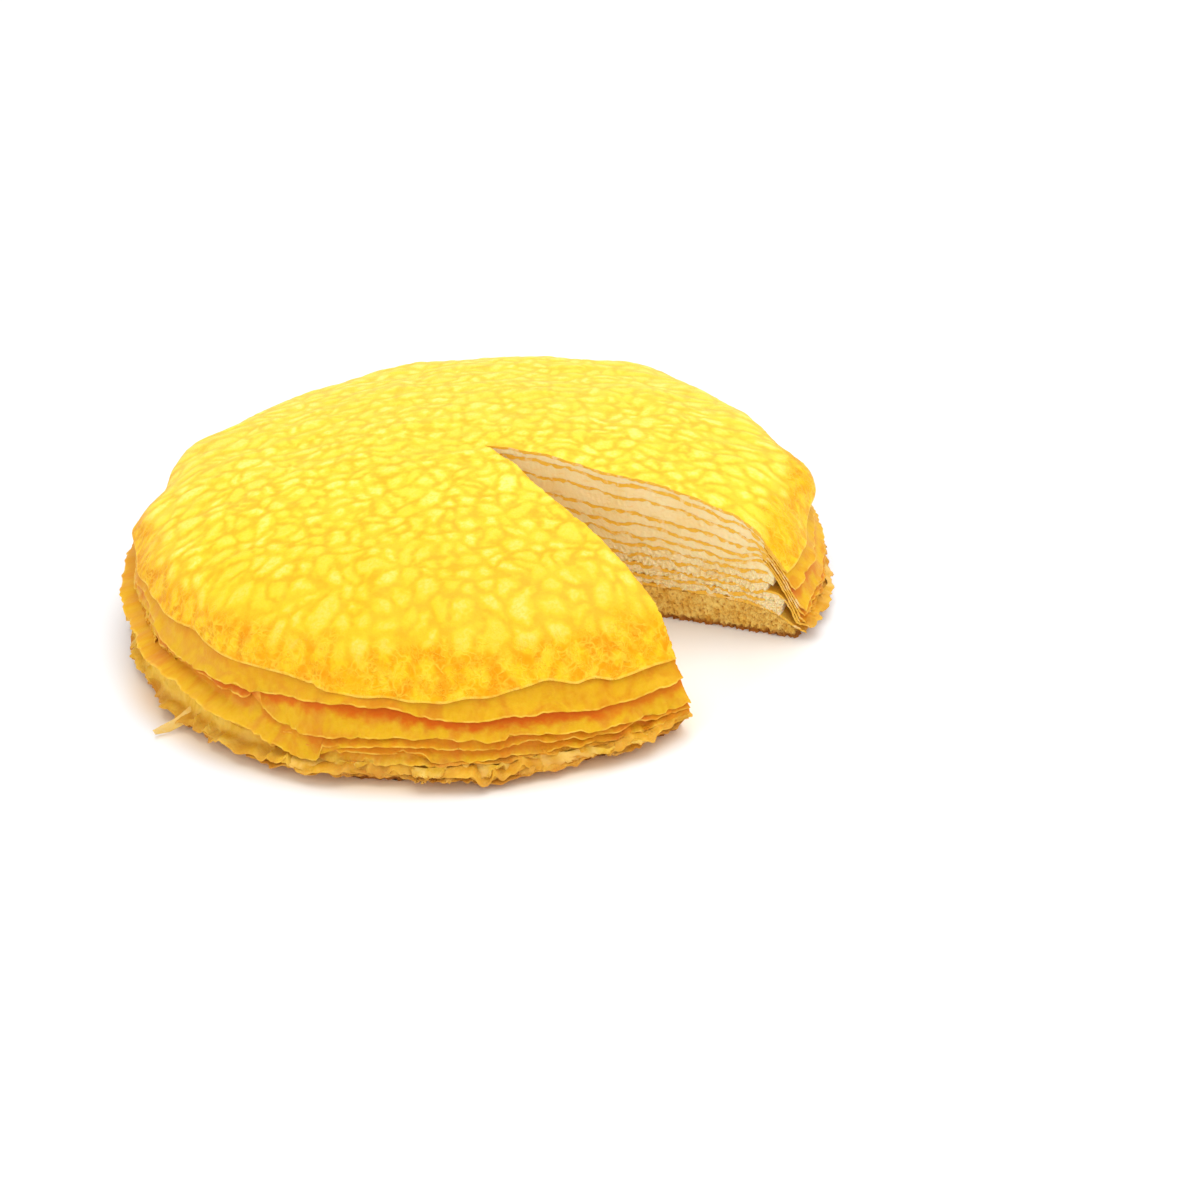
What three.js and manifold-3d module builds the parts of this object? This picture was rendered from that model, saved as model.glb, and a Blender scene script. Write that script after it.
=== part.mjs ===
// A round crepe cake with one wedge taken out. Eleven crepes lie over a thin
// sponge base with cream between them, and their skirts hang down the side.
// Millimetres, +Z up, origin on the cake's axis where the sponge meets the table.
import * as THREE from "three";
import { mergeVertices } from "three/addons/utils/BufferGeometryUtils.js";
import Module from "manifold-3d";

const wasm = await Module();
wasm.setup();

// Driving sizes
const cakeHeight = 47;
const spongeHeight = 9.4;
const spongeRadius = 98.4;
const skirtRadius = 106.2; // where the top crepe's line would reach the table
const crepeThickness = 0.7;
const layerGap = 0.1; // air left between neighbouring solids
const creamThickness = [1.4, 3.6, 4.3, 3.2, 2.7, 2.7, 2.7, 2.7, 2.7, 2.7]; // at the axis, top down

// The wedge that was taken out: its tip and the directions of its two cuts, degrees from +X
const wedgeTip = new THREE.Vector2(6.5, -8.6);
const wedgeNearCut = -57.4;
const wedgeFarCut = -24.5;
const wedgeReach = 170;

// Mesh fineness
const sideCount = 36;
const topSideCount = 72;

const crepeCount = creamThickness.length + 1;
const skirtGap = 0.3; // air left between two packed skirts
const packedPitch = crepeThickness + skirtGap;
const firstFace = crepeThickness + layerGap; // outer face of the lowest crepe above the sponge
const colours = { crepe: 0xf2c24a, topCrepe: 0xfbdc4e, cream: 0xeed9b4, sponge: 0xd0a04a };

// Half sections, radius and height, from the axis (station 0) to the table (station 10).
// Stations with the same number face each other across the stack of layers.
function halfSection(points) {
  return new THREE.SplineCurve(points.map(([radius, height]) => new THREE.Vector2(radius, height)));
}

const lastStation = 10;
const outerLine = halfSection([
  [0, cakeHeight], [25, 46], [46, 43.4], [65, 40.4], [79, 36.6], [87.5, 32],
  [92, 26.5], [95.6, 20.5], [99.4, 14.5], [102.9, 8.5], [skirtRadius, 1.5],
]);
const spongeLine = halfSection([
  [0, spongeHeight], [25, spongeHeight], [46, spongeHeight], [64, spongeHeight], [77, 9.1], [84.5, 8.6],
  [89.3, 7.7], [93, 6.4], [95.8, 4.7], [97.6, 2.7], [spongeRadius, 0.4],
]);

// Free edges of the skirts: heights above the table at chosen angles, followed smoothly.
// A pair of points close together is a tear. Crepes without an entry end inside the cake.
const skirtEdges = new Map([
  [0, [[-160, 24], [-139, 26], [-120, 24], [-97, 21], [-85, 21], [-78, 23], [-60, 19], [-20, 20],
    [20, 23], [60, 25], [100, 24], [140, 22], [175, 25]]],
  [1, [[-178, 17], [-145, 18.5], [-115, 19.7], [-90, 17], [-75, 14.3], [-57, 14], [-20, 15], [60, 18],
    [130, 16]]],
  [2, [[-150, 21.5], [-124, 21.5], [-118, 12], [-90, 11], [-57, 10.4], [-20, 11.5], [60, 12], [120, 13],
    [150, 21.5]]],
  [3, [[-170, 10.5], [-145, 10], [-127, 8], [-114, 3.6], [-108, 9.3], [-57, 8.3], [0, 8], [90, 9]]],
  [4, [[-150, 7.6], [-115, 8], [-108, 6.8], [-97, 7], [-90, 6], [-57, 4.9], [0, 6], [90, 7]]],
  [5, [[-180, 5], [-150, 4.4], [-110, 4.2], [-57, 3.2], [0, 4], [90, 5]]],
  [8, [[-170, 2.6], [-125, 1.6], [-100, 2.4], [-75, 1.4], [-40, 2.2], [40, 1.8], [110, 2.6]]],
  [10, [[-160, 0.9], [-110, 0.5], [-70, 0.8], [0, 0.6], [90, 1]]],
]);
const buriedEdgeStation = 6.2;

// Places where a skirt stands off the stack: crepe, angle, spread, outward reach, lift, station, length
const bulges = [
  { crepe: 0, angle: 158, spread: 9, reach: 5.5, lift: 0.8, station: 5.3, length: 1.5 },
  { crepe: 0, angle: -178, spread: 7, reach: 4.6, lift: 0, station: 6, length: 1.2 },
  { crepe: 0, angle: 62, spread: 9, reach: 2, lift: 0.6, station: 5.4, length: 1.4 },
  { crepe: 0, angle: 36, spread: 8, reach: 1.2, lift: 0.5, station: 5.5, length: 1.4 },
  { crepe: 0, angle: 13, spread: 10, reach: 5.2, lift: 0.5, station: 5.7, length: 1.3 },
];
for (const [crepe, reach] of [[3, 2.6], [4, 2.3], [5, 2], [8, 1.6]]) {
  bulges.push({ crepe, angle: -175, spread: 26, reach, lift: 0, station: 9, length: 1.1 });
}

// Sampling of the half sections. Neighbours share their stations, so their faces stay parallel.
const stations = [0, 2.6, 4.3, 5.6, 7.4, lastStation];
const topStations = [0, 1.3, 2.6, 3.5, 4.3, 5.6, 7.4, lastStation];
const creamEnds = [5.6, 5.6, 5.6, 5.6, 5.6, 6.6, 6.6, 6.6, 7.4, 7.4];
const rowSpacing = 0.12; // least distance, in stations, between rows pushed up by a high edge

function wrapDegrees(angle) {
  return ((((angle + 180) % 360) + 360) % 360) - 180;
}

// Smooth periodic curve through [angle, value] points, eased between neighbours.
function followAround(points, angle) {
  const offsets = points.map(([at]) => (((angle - at) % 360) + 360) % 360);
  const before = offsets.indexOf(Math.min(...offsets));
  const after = (before + 1) % points.length;
  const span = (((points[after][0] - points[before][0]) % 360) + 360) % 360;
  const share = THREE.MathUtils.smoothstep(offsets[before] / span, 0, 1);
  return THREE.MathUtils.lerp(points[before][1], points[after][1], share);
}

function roomAt(station) {
  const outer = outerLine.getPoint(station / lastStation);
  return outer.distanceTo(spongeLine.getPoint(station / lastStation));
}

// Point at a station, lifted off the sponge towards the outer line by so many millimetres.
function sectionPoint(station, lift) {
  const start = spongeLine.getPoint(station / lastStation);
  return start.lerp(outerLine.getPoint(station / lastStation), lift / roomAt(station));
}

// Share of the stack's height that lies below a crepe, from 1 for the top one to 0 for the lowest.
function stackShare(index) {
  const pitches = creamThickness.map((cream) => cream + crepeThickness);
  const total = pitches.reduce((sum, pitch) => sum + pitch, 0);
  const above = pitches.slice(0, index).reduce((sum, pitch) => sum + pitch, 0);
  return 1 - above / total;
}

// How far a crepe has moved from its even place in the stack into the packed skirt, 0 to 1.
function packing(index, station) {
  const [from, to] = index <= 5 ? [4.2, 6] : [5, 8.2];
  return THREE.MathUtils.smoothstep(station, from, to);
}

// Height of a crepe's outer face above the sponge, along the line between the half sections.
function crepeFace(index, station) {
  if (index === 6 || index === 7) {
    return THREE.MathUtils.lerp(crepeFace(5, station), crepeFace(8, station), (index - 5) / 3);
  }
  if (index === 9) {
    return (crepeFace(8, station) + crepeFace(10, station)) / 2;
  }
  if (index === 10) {
    return firstFace;
  }
  const room = roomAt(station);
  const even = firstFace + stackShare(index) * (room - firstFace);
  const packedSlot = Math.min(index, 6);
  return THREE.MathUtils.lerp(even, room - packedSlot * packedPitch, packing(index, station));
}

function stationAtHeight(index, height) {
  let [high, low] = [stations[2], lastStation];
  for (let step = 0; step < 30; step += 1) {
    const middle = (high + low) / 2;
    if (sectionPoint(middle, crepeFace(index, middle)).y > height) {
      high = middle;
    } else {
      low = middle;
    }
  }
  return (high + low) / 2;
}

function edgeStation(index, angle) {
  const edge = skirtEdges.get(index);
  return edge ? stationAtHeight(index, followAround(edge, angle)) : buriedEdgeStation;
}

// A point of the polygon through a section line's own points at the sampled stations.
function onFacets(samples, station, pointAt) {
  const next = samples.findIndex((sample) => sample >= station);
  if (next === 0) {
    return pointAt(samples[0]);
  }
  const [from, to] = [samples[next - 1], samples[next]];
  return pointAt(from).lerp(pointAt(to), (station - from) / (to - from));
}

// A point of a crepe's section below its outer face, moved out and up by the bulges that reach it.
function crepePoint(index, angle, station, depth) {
  const samples = index === 0 ? topStations : stations;
  const point = onFacets(samples, station, (at) => sectionPoint(at, crepeFace(index, at) - depth));
  for (const bulge of bulges.filter(({ crepe }) => crepe === index)) {
    const across = wrapDegrees(angle - bulge.angle) / bulge.spread;
    const along = (station - bulge.station) / bulge.length;
    const strength = Math.exp(-across * across - along * along);
    point.x += bulge.reach * strength;
    point.y += bulge.lift * strength;
  }
  return point;
}

// Turns rows of section points into a closed solid of revolution whose section may change with
// the angle. Each row is a function from the angle in degrees to a point (radius, height).
function revolve(rows, sides) {
  const geometry = new THREE.LatheGeometry(rows.map((row) => row(0)), sides);
  const position = geometry.getAttribute("position");
  for (let side = 0; side <= sides; side += 1) {
    const angle = (360 * (side % sides)) / sides;
    const turn = THREE.MathUtils.degToRad(angle);
    rows.forEach((row, index) => {
      const point = row(angle);
      const vertex = side * rows.length + index;
      position.setXYZ(vertex, point.x * Math.cos(turn), point.x * Math.sin(turn), point.y);
    });
  }
  return geometry;
}

function toManifold(geometry) {
  geometry.deleteAttribute("normal");
  geometry.deleteAttribute("uv");
  const merged = mergeVertices(geometry, 1e-3);
  const corners = merged.getIndex().array;
  const triangles = [];
  for (let first = 0; first < corners.length; first += 3) {
    const [a, b, c] = corners.slice(first, first + 3);
    if (a !== b && b !== c && c !== a) {
      triangles.push(a, b, c);
    }
  }
  return new wasm.Manifold(new wasm.Mesh({
    numProp: 3,
    vertProperties: new Float32Array(merged.getAttribute("position").array),
    triVerts: new Uint32Array(triangles),
  }));
}

function toGeometry(solid) {
  const mesh = solid.getMesh();
  const geometry = new THREE.BufferGeometry();
  geometry.setAttribute("position", new THREE.BufferAttribute(mesh.vertProperties, 3));
  geometry.setIndex(new THREE.BufferAttribute(mesh.triVerts, 1));
  return geometry;
}

function wedgePrism() {
  const corner = (degrees) => {
    const turn = THREE.MathUtils.degToRad(degrees);
    return new THREE.Vector2(Math.cos(turn), Math.sin(turn)).multiplyScalar(wedgeReach).add(wedgeTip);
  };
  const outline = new THREE.Shape([wedgeTip, corner(wedgeNearCut), corner(wedgeFarCut)]);
  const prism = new THREE.ExtrudeGeometry(outline, { depth: 2 * cakeHeight, bevelEnabled: false });
  return toManifold(prism.translate(0, 0, -cakeHeight / 2));
}

// Lower face from the axis to the edge, then the upper face back to the axis.
function crepeRows(index) {
  const samples = index === 0 ? topStations : stations;
  const edgeAngles = (skirtEdges.get(index) ?? [[0]]).map(([angle]) => angle);
  const lowestEdge = Math.max(...edgeAngles.map((angle) => edgeStation(index, angle)));
  const kept = samples.filter((station) => station < lowestEdge - rowSpacing);
  const rowStation = (row, angle) => {
    const edge = edgeStation(index, angle);
    return row === kept.length ? edge : Math.min(kept[row], edge - rowSpacing * (kept.length - row));
  };
  const faceRow = (row, depth) => (angle) => crepePoint(index, angle, rowStation(row, angle), depth);
  const order = [...kept.keys(), kept.length];
  return [
    ...order.map((row) => faceRow(row, crepeThickness)),
    ...order.reverse().map((row) => faceRow(row, 0)),
  ];
}

function creamRows(index) {
  const end = creamEnds[index];
  const floor = (station) => sectionPoint(station, crepeFace(index + 1, station) + layerGap);
  const roof = (station) => sectionPoint(station, crepeFace(index, station) - crepeThickness - layerGap);
  const kept = stations.filter((station) => station < end);
  const tip = onFacets(stations, end, floor).lerp(onFacets(stations, end, roof), 0.5);
  return [
    ...kept.map((station) => () => floor(station)),
    () => tip,
    ...kept.reverse().map((station) => () => roof(station)),
  ];
}

function spongeRows() {
  const rim = sectionPoint(lastStation, 0);
  return [
    () => new THREE.Vector2(0, 0),
    () => new THREE.Vector2(rim.x, 0),
    ...stations.toReversed().map((station) => () => sectionPoint(station, 0)),
  ];
}

const wedge = wedgePrism();

function layer(name, colour, roughness, rows, sides) {
  const solid = toManifold(revolve(rows, sides)).subtract(wedge);
  const material = new THREE.MeshStandardMaterial({ color: colour, roughness, metalness: 0 });
  const mesh = new THREE.Mesh(toGeometry(solid), material);
  mesh.name = name;
  return mesh;
}

function layerName(kind, index) {
  return `${kind}_${String(index + 1).padStart(2, "0")}`;
}

const group = new THREE.Group();
group.add(layer("sponge", colours.sponge, 0.95, spongeRows(), sideCount));
for (let index = 0; index < crepeCount; index += 1) {
  const colour = index === 0 ? colours.topCrepe : colours.crepe;
  const sides = index === 0 ? topSideCount : sideCount;
  group.add(layer(layerName("crepe", index), colour, 0.6, crepeRows(index), sides));
}
for (let index = 0; index < creamThickness.length; index += 1) {
  group.add(layer(layerName("cream", index), colours.cream, 0.8, creamRows(index), sideCount));
}

export default group;
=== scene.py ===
"""Looks of a crepe cake with a wedge taken out: sponge, cream, crepes with hanging skirts, and a pale stage.

Shapes and the values on them are in millimetres and degrees. Meshes, lights and the camera are in metres.
A layer is a block with three coordinates. Its turn runs from 0 at the far cut round the cake to 1 at
the near cut, its share runs from 0 at the wedge's tip to 1 at the layer's free edge, and its depth runs
from 0 on its outer face to 1 on its inner face. A station says how far along the half section a point
lies, from 0 at the middle to 10 at the table, and a lift says how far it stands off the sponge.
"""

import functools

import bpy
import numpy as np
from bpy.props import FloatProperty, FloatVectorProperty, PointerProperty
from mathutils import Matrix, Vector


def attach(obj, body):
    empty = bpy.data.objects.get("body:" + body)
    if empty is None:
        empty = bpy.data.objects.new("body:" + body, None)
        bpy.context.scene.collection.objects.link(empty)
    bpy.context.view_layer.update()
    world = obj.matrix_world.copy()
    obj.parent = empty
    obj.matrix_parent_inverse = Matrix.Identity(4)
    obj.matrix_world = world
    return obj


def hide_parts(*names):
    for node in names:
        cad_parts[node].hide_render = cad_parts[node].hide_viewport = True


bl_info = {
    "name": "Crepe cake",
    "version": (1, 0, 0),
    "blender": (4, 5, 0),
    "location": "3D View > Sidebar > Crepe cake",
    "description": "Builds a crepe cake with one wedge taken out, on a pale studio floor",
    "category": "Object",
}

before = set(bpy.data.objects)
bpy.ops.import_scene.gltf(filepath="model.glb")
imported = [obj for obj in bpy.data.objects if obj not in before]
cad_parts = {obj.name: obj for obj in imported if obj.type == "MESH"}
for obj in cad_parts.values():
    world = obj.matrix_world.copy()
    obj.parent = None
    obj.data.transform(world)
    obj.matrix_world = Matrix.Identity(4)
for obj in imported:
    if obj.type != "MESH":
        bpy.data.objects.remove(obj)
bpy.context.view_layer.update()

MILLIMETRE = 0.001
BODY = "root"

# ---------------------------------------------------------------------------------------------
# Shape of the cake
# ---------------------------------------------------------------------------------------------

CREPE_COUNT = 11
WEDGE_TIP = np.array([6.5, -8.6])
FAR_CUT = -24.5
NEAR_CUT = 302.6
CAKE_SPAN = np.radians(NEAR_CUT - FAR_CUT)
LAST_STATION = 10.0

# Half sections, radius and height, one point a station.
OUTER_LINE = np.array([
    [0, 47], [25, 46], [46, 43.4], [65, 40.4], [79, 36.6], [87.5, 32],
    [92, 26.5], [95.6, 20.5], [99.4, 14.5], [102.9, 8.5], [106.2, 1.5],
])
SPONGE_LINE = np.array([
    [0, 9.4], [25, 9.4], [46, 9.4], [64, 9.4], [77, 9.1], [84.5, 8.6],
    [89.3, 7.7], [93, 6.4], [95.8, 4.7], [97.6, 2.7], [98.4, 0.4],
])

# Thickness of each cream layer, from the top one down, and the station where it ends.
CREAM_THICKNESS = (1.4, 3.6, 4.3, 3.2, 2.7, 2.7, 2.7, 2.7, 2.7, 2.7)
CREAM_ENDS = (5.6, 5.6, 5.6, 5.6, 5.6, 6.4, 6.4, 6.1, 7.3, 7.3)

# Distance from crepe to crepe in the skirts, lift of the lowest crepe's outer face, and station where a
# crepe ends that has no free edge of its own.
PACKED_PITCH = 1.0
FIRST_FACE = 0.8
BURIED_EDGE = 6.2

# Heights of the skirts' free edges above the table at chosen angles, followed smoothly.
SKIRT_EDGES = {
    0: ((-160, 24.5), (-148, 25), (-139, 25.7), (-135, 24.5), (-122, 24.1), (-116, 23.6), (-110, 22.9),
        (-103, 21.6), (-96, 21), (-86, 21.2), (-78, 22.8), (-72, 21.2), (-66.5, 19.2), (-58, 19),
        (-20, 20), (20, 23), (60, 25), (100, 24), (140, 22), (175, 25)),
    1: ((-178, 21.5), (-156, 22), (-151, 20.6), (-145, 18.8), (-137, 17.7), (-131, 17.5), (-124, 18.3),
        (-115, 19.4), (-109, 19.8), (-101, 18.8), (-96, 17.9), (-91, 16.7), (-86, 16.2), (-76, 15.6),
        (-70, 14.5), (-64, 13.8), (-57, 14.2), (-20, 15), (60, 18), (130, 16)),
    2: ((-178, 19), (-165, 18.6), (-150, 17.2), (-137, 16.4), (-131, 16), (-124.5, 16), (-122.6, 19.5),
        (-121.4, 14.8), (-119.3, 12.9), (-114, 12.1), (-110, 11.7), (-104, 12.4), (-96, 12.8), (-92, 12.3),
        (-82, 11.3), (-77, 10.4), (-71, 9.6), (-65, 9), (-57, 8.4), (-20, 9.5), (60, 11), (120, 12.5)),
    3: ((-178, 17), (-165, 15.6), (-158, 14.4), (-150, 14), (-145, 14), (-139, 13.3), (-135, 12.4),
        (-130, 11.7), (-126, 11.2), (-123, 10.4), (-119, 8.4), (-116, 7), (-112.6, 6), (-110.9, 6.2),
        (-110.2, 9.6), (-96, 10.2), (-91, 9.6), (-80, 9.1), (-74, 8), (-68, 7.7), (-57, 7), (0, 7.5),
        (90, 9), (140, 12)),
    4: ((-178, 17), (-150, 15), (-135, 13.4), (-126, 12), (-119, 9.8), (-110.5, 8.2), (-109, 9),
        (-107.6, 8.1), (-97, 8.6), (-95.6, 8.4), (-94.3, 6.4), (-84, 6.5), (-77, 6), (-71, 5.8), (-64, 5),
        (-57, 4.6), (0, 6), (90, 7), (140, 11)),
    5: ((-178, 16), (-150, 14), (-135, 12), (-126, 10), (-119, 6.4), (-112, 5), (-100, 5.4), (-90, 4.9),
        (-75, 4.8), (-57, 4.4), (0, 4.4), (90, 5), (140, 9)),
    8: ((-178, 2.6), (-151, 2.8), (-145, 2), (-136, 1.8), (-125, 2.2), (-112, 2.2), (-100, 3.4), (-94, 2.8),
        (-86, 1.6), (-81, 2.6), (-75.2, 2), (-73.8, 3.8), (-68, 2.9), (-64, 2.9), (-58, 3.4), (-40, 2.4),
        (40, 2), (110, 2.6)),
    10: ((-160, 1.2), (-136, 1), (-125, 1.5), (-112, 1.6), (-100, 2.6), (-94, 2), (-86, 1), (-81, 1.8),
         (-75, 1.4), (-73.8, 3), (-66, 2), (-58, 2.8), (0, 1.6), (90, 1.4)),
}

# Fraying of each free edge: height of its waves, nicks and tears, and how many tears it has.
FRAYING = {
    0: (0.1, 0.14, 0.5, 8),
    1: (0.08, 0.3, 0.8, 16),
    2: (0.1, 0.45, 1.0, 20),
    3: (0.1, 0.2, 0.8, 20),
    4: (0.1, 0.5, 1.4, 34),
    5: (0.15, 0.6, 1.8, 46),
    8: (0.2, 0.7, 1.8, 60),
    10: (0.2, 0.5, 1.0, 50),
}

# How far each skirt turns outward along its free edge, and over how many stations it does so.
FLARES = {0: (0.2, 0.4), 1: (0.4, 0.7), 2: (0.3, 0.6), 3: (0.3, 0.6), 4: (0.35, 0.5), 5: (0.5, 0.5),
          8: (1.6, 0.8), 10: (1.0, 0.6)}

# How far free edges reach outward at chosen angles, and over how many stations: the fourth crepe lies
# like a shelf on the left, and the lowest ones stand out over the table.
REACHES = {
    1: (((-178, 0.3), (-60, 0.3), (60, 0.3)), 0.4),
    2: (((-178, 0.3), (-60, 0.4), (60, 0.3)), 0.4),
    3: (((-178, 4.4), (-160, 4.6), (-145, 4.6), (-130, 3.8), (-120, 2), (-112, 0.9), (-104, 0.4),
         (-60, 0.3), (60, 0.3), (140, 1.5)), 0.34),
    4: (((-178, 0.2), (-60, 0.5), (60, 0.4)), 0.4),
    5: (((-178, 0.2), (-60, 0.7), (60, 0.5)), 0.5),
    8: (((-178, 0.4), (-136, 0.5), (-110, 1.8), (-80, 2.3), (-68, 2.7), (-58, 1.6), (60, 1.6)), 1.0),
    10: (((-178, 0.5), (-136, 0.6), (-110, 2.1), (-80, 2.8), (-68, 3.3), (-58, 2), (60, 2)), 1.2),
}

# How far each free edge flutters in and out.
FLUTTERS = {1: 0.15, 2: 0.25, 3: 0.3, 4: 0.3, 5: 0.35, 8: 0.4, 10: 0.45}

# Places where a skirt stands off the stack or is drawn in: angle, spread, outward reach, lift, station,
# length.
BULGES = {
    0: ((158, 9, 4.0, 0.8, 5.3, 1.5), (-178, 7, 2.8, 0, 6, 1.2), (54, 8, 3.4, 0.6, 5.4, 1.4),
        (0, 9, 4.9, 0.5, 6.0, 1.4)),
    2: ((-160, 30, -1.2, 0, 7.5, 0.5),),
    3: ((-160, 30, -1.6, 0, 7.6, 0.5),),
    4: ((-160, 30, -1.5, 0, 7.6, 0.5),),
    5: ((-160, 30, -1.4, 0, 7.6, 0.5),),
    8: ((-160, 30, -1.0, 0, 7.6, 0.5), (-158, 24, -0.7, 0, 9.2, 1.0)),
    10: ((-158, 24, -0.7, 0, 9.4, 1.0),),
}

# How strongly shade is painted on a skirt right under the free edge that covers it: one value, or values at
# chosen angles.
RECESS_SHADES = {
    1: ((-178, 0.4), (-150, 0.3), (-110, 0.25), (-90, 0.1), (60, 0.2)),
    2: ((-175, 0.6), (-122, 0.9), (-90, 1.0), (-75, 1.0), (-64, 0.7), (60, 0.5)),
    3: ((-175, 0.35), (-150, 0.4), (-128, 0.6), (-118, 0.5), (-60, 0.6), (60, 0.6)),
    4: ((-175, 0.6), (-60, 0.6), (60, 0.6)),
    5: ((-175, 0.6), (-60, 0.4), (60, 0.5)),
    8: ((-175, 0.5), (-110, 0.2), (-60, 0.2), (60, 0.3)),
    10: ((-175, 0.1), (-60, 0.1), (60, 0.1)),
}

# How tan and translucent a skirt looks at chosen angles.
TANS = {
    1: ((-175, 0.3), (-145, 0.25), (-120, 0.1), (-60, 0.0), (60, 0.3)),
    2: ((-175, 0.7), (-126, 0.6), (-118, 0.1), (-60, 0.1), (60, 0.3)),
    3: ((-175, 0.45), (-130, 0.3), (-112, 0.1), (-60, 0.1), (60, 0.2)),
    4: ((-175, 0.3), (-60, 0.2), (60, 0.3)),
    5: ((-175, 0.6), (-60, 0.45), (60, 0.5)),
    8: ((-175, 1.0), (-60, 0.85), (60, 0.9)),
    10: ((-175, 1.0), (-60, 1.0), (60, 1.0)),
}

# Station from which a crepe can be seen, and so is woven finely.
SEEN_FROM = {0: 0.0, 1: 5.6, 2: 6.6, 3: 6.6, 4: 7.4, 5: 7.8, 8: 8.2, 10: 8.2}

# Station where a crepe's skirt starts. A crepe's shares run to that station up to the switch share, and
# above it to the free edge.
SKIRT_STARTS = {0: 5.0, 1: 5.4, 2: 6.2, 3: 6.2, 4: 6.8, 5: 7.2, 8: 7.6, 10: 7.6}
BURIED_START = 4.0
SWITCH_SHARE = 0.5

# Radius at which angles on the skirts are taken, millimetres of skirt in one station, length of a crepe from
# its middle to the table, and steps in a station where lengths are measured.
SKIRT_RADIUS = 97.0
STATION_LENGTH = 7.0
SECTION_LENGTH = 130
STATION_STEPS = 40

# Radius at which a shred's width is measured, and height in metres up to which shade is painted on the foot.
SHRED_RADIUS = 98
FOOT_SHADE_HEIGHT = 0.009

# Values all round for a crepe without recesses or tan places.
NOWHERE = ((0, 0), (180, 0))

# Gap from the sponge to the lowest crepe and between crepes, and how far cream reaches into a crepe.
SPONGE_GAP = 0.1
CREPE_GAP = 0.06
CREAM_OVERLAP = 0.06

# Thickness of a crepe where the stack is shared out, and how far its cuts are roughened.
USUAL_THICKNESS = 0.7
CREPE_ROUGHNESS = 0.12

# Sharpness of the blister cells' corners, angle from which an edge is shaded as a corner, and steps in a
# millimetre to which points are rounded when they are welded.
CELL_ROUNDING = 2.0
SHARP_ANGLE = 50
WELD_STEPS = 20000

# The skin table holds the skirts' radius up to a height, at a number of levels a millimetre.
SKIN_HEIGHT = 30
SKIN_LEVELS = 2

# Floor: radius, where its rim starts to rise and how fast, and its spokes and rings.
FLOOR_RADIUS = 4000
RIM_START = 2200
FLOOR_RISE = 0.0005
FLOOR_SPOKES = 128
FLOOR_RINGS = 40

# Soft lights: name, place and size in metres, and power.
COOL_LIGHT = (0.86, 0.93, 1.0)
SOFT_LIGHTS = (
    ("front", (0.15, -1.1, 0.85), 1.2, 5.3),
    ("left", (-1.1, -0.3, 0.7), 0.9, 4.0),
    ("right", (1.1, -0.1, 0.7), 0.9, 3.6),
)

# Camera: its angles in degrees, its lens in millimetres, and how far it aims past the origin in metres.
CAMERA_ELEVATION = 30.7
CAMERA_ROLL = 4.08
CAMERA_LENS = 51.02
AIM_RIGHT = 0.035056
AIM_DOWN = 0.008987

# Millimetres that red, green and blue light reach under the surface of a crepe.
THIN_REACH = (0.4, 0.25, 0.1)

# Nodes of the cake's lattice, radius from which rings share the cake's axis, and columns of hidden faces.
LATTICE_TURNS = 901
LATTICE_STATIONS = 321
CENTRE_BLEND_RADIUS = 40.0
COARSE_COLUMNS = 72


def millimetres(name):
    """One of the cake's sizes, in millimetres."""
    return getattr(bpy.context.scene.cake_sizes, name) / MILLIMETRE


def smooth(value, low=0.0, high=1.0):
    """Smoothstep: 0 below low, 1 above high, and eased between them."""
    share = np.clip((np.asarray(value, float) - low) / (high - low), 0, 1)
    return share * share * (3 - 2 * share)


def along(line, station):
    """Catmull-Rom curve through a half section's points, which stand one station apart."""
    last = len(line) - 1
    station = np.clip(np.asarray(station, float), 0, last)
    low = np.minimum(station.astype(int), last - 1)
    part = (station - low)[..., None]
    before = line[np.maximum(low - 1, 0)]
    start = line[low]
    end = line[low + 1]
    after = line[np.minimum(low + 2, last)]
    leave = (end - before) / 2
    arrive = (after - start) / 2
    cubic = (2 * (start - end) + leave + arrive) * part**3
    return cubic + (3 * (end - start) - 2 * leave - arrive) * part**2 + leave * part + start


def swell(points, size, seed, count=14):
    """Gentle random relief of unit strength: a sum of plane waves of about that length in all directions."""
    dice = np.random.default_rng(seed)
    directions = dice.normal(size=(count, points.shape[-1]))
    directions /= np.linalg.norm(directions, axis=1)[:, None]
    lengths = size * dice.uniform(0.7, 1.4, count)
    phases = dice.uniform(0, 2 * np.pi, count)
    angles = points @ (directions * (2 * np.pi / lengths)[:, None]).T + phases
    return np.cos(angles).sum(-1) * np.sqrt(2 / count)


def fray(distance, size, seed):
    """Angular random line from -1 to 1: straight pieces between knots that stand about that far apart."""
    dice = np.random.default_rng(seed)
    low = distance.min() - size
    knots = low + np.cumsum(dice.uniform(0.4, 1.6, int(np.ptp(distance) / size * 1.4) + 6)) * size
    return np.interp(distance, knots, dice.uniform(-1, 1, len(knots)))


def follow_around(points, angle):
    """Smooth closed curve through (angle, value) points, eased between neighbours."""
    keys = np.array(sorted((at % 360, value) for at, value in points), float)
    keys = np.vstack([keys[-1] - (360, 0), keys, keys[0] + (360, 0)])
    angle = np.asarray(angle, float) % 360
    after = np.clip(np.searchsorted(keys[:, 0], angle, side="right"), 1, len(keys) - 1)
    before = after - 1
    share = smooth((angle - keys[before, 0]) / (keys[after, 0] - keys[before, 0]))
    return keys[before, 1] + (keys[after, 1] - keys[before, 1]) * share


def room_at(station):
    """Distance between the outer line and the sponge line at a station."""
    return np.linalg.norm(along(OUTER_LINE, station) - along(SPONGE_LINE, station), axis=-1)


def stack_share(index):
    """Share of the stack's height below a crepe: 1 for the top one, 0 for the lowest."""
    pitches = np.array(CREAM_THICKNESS) + USUAL_THICKNESS
    return 1 - pitches[:index].sum() / pitches.sum()


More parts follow.
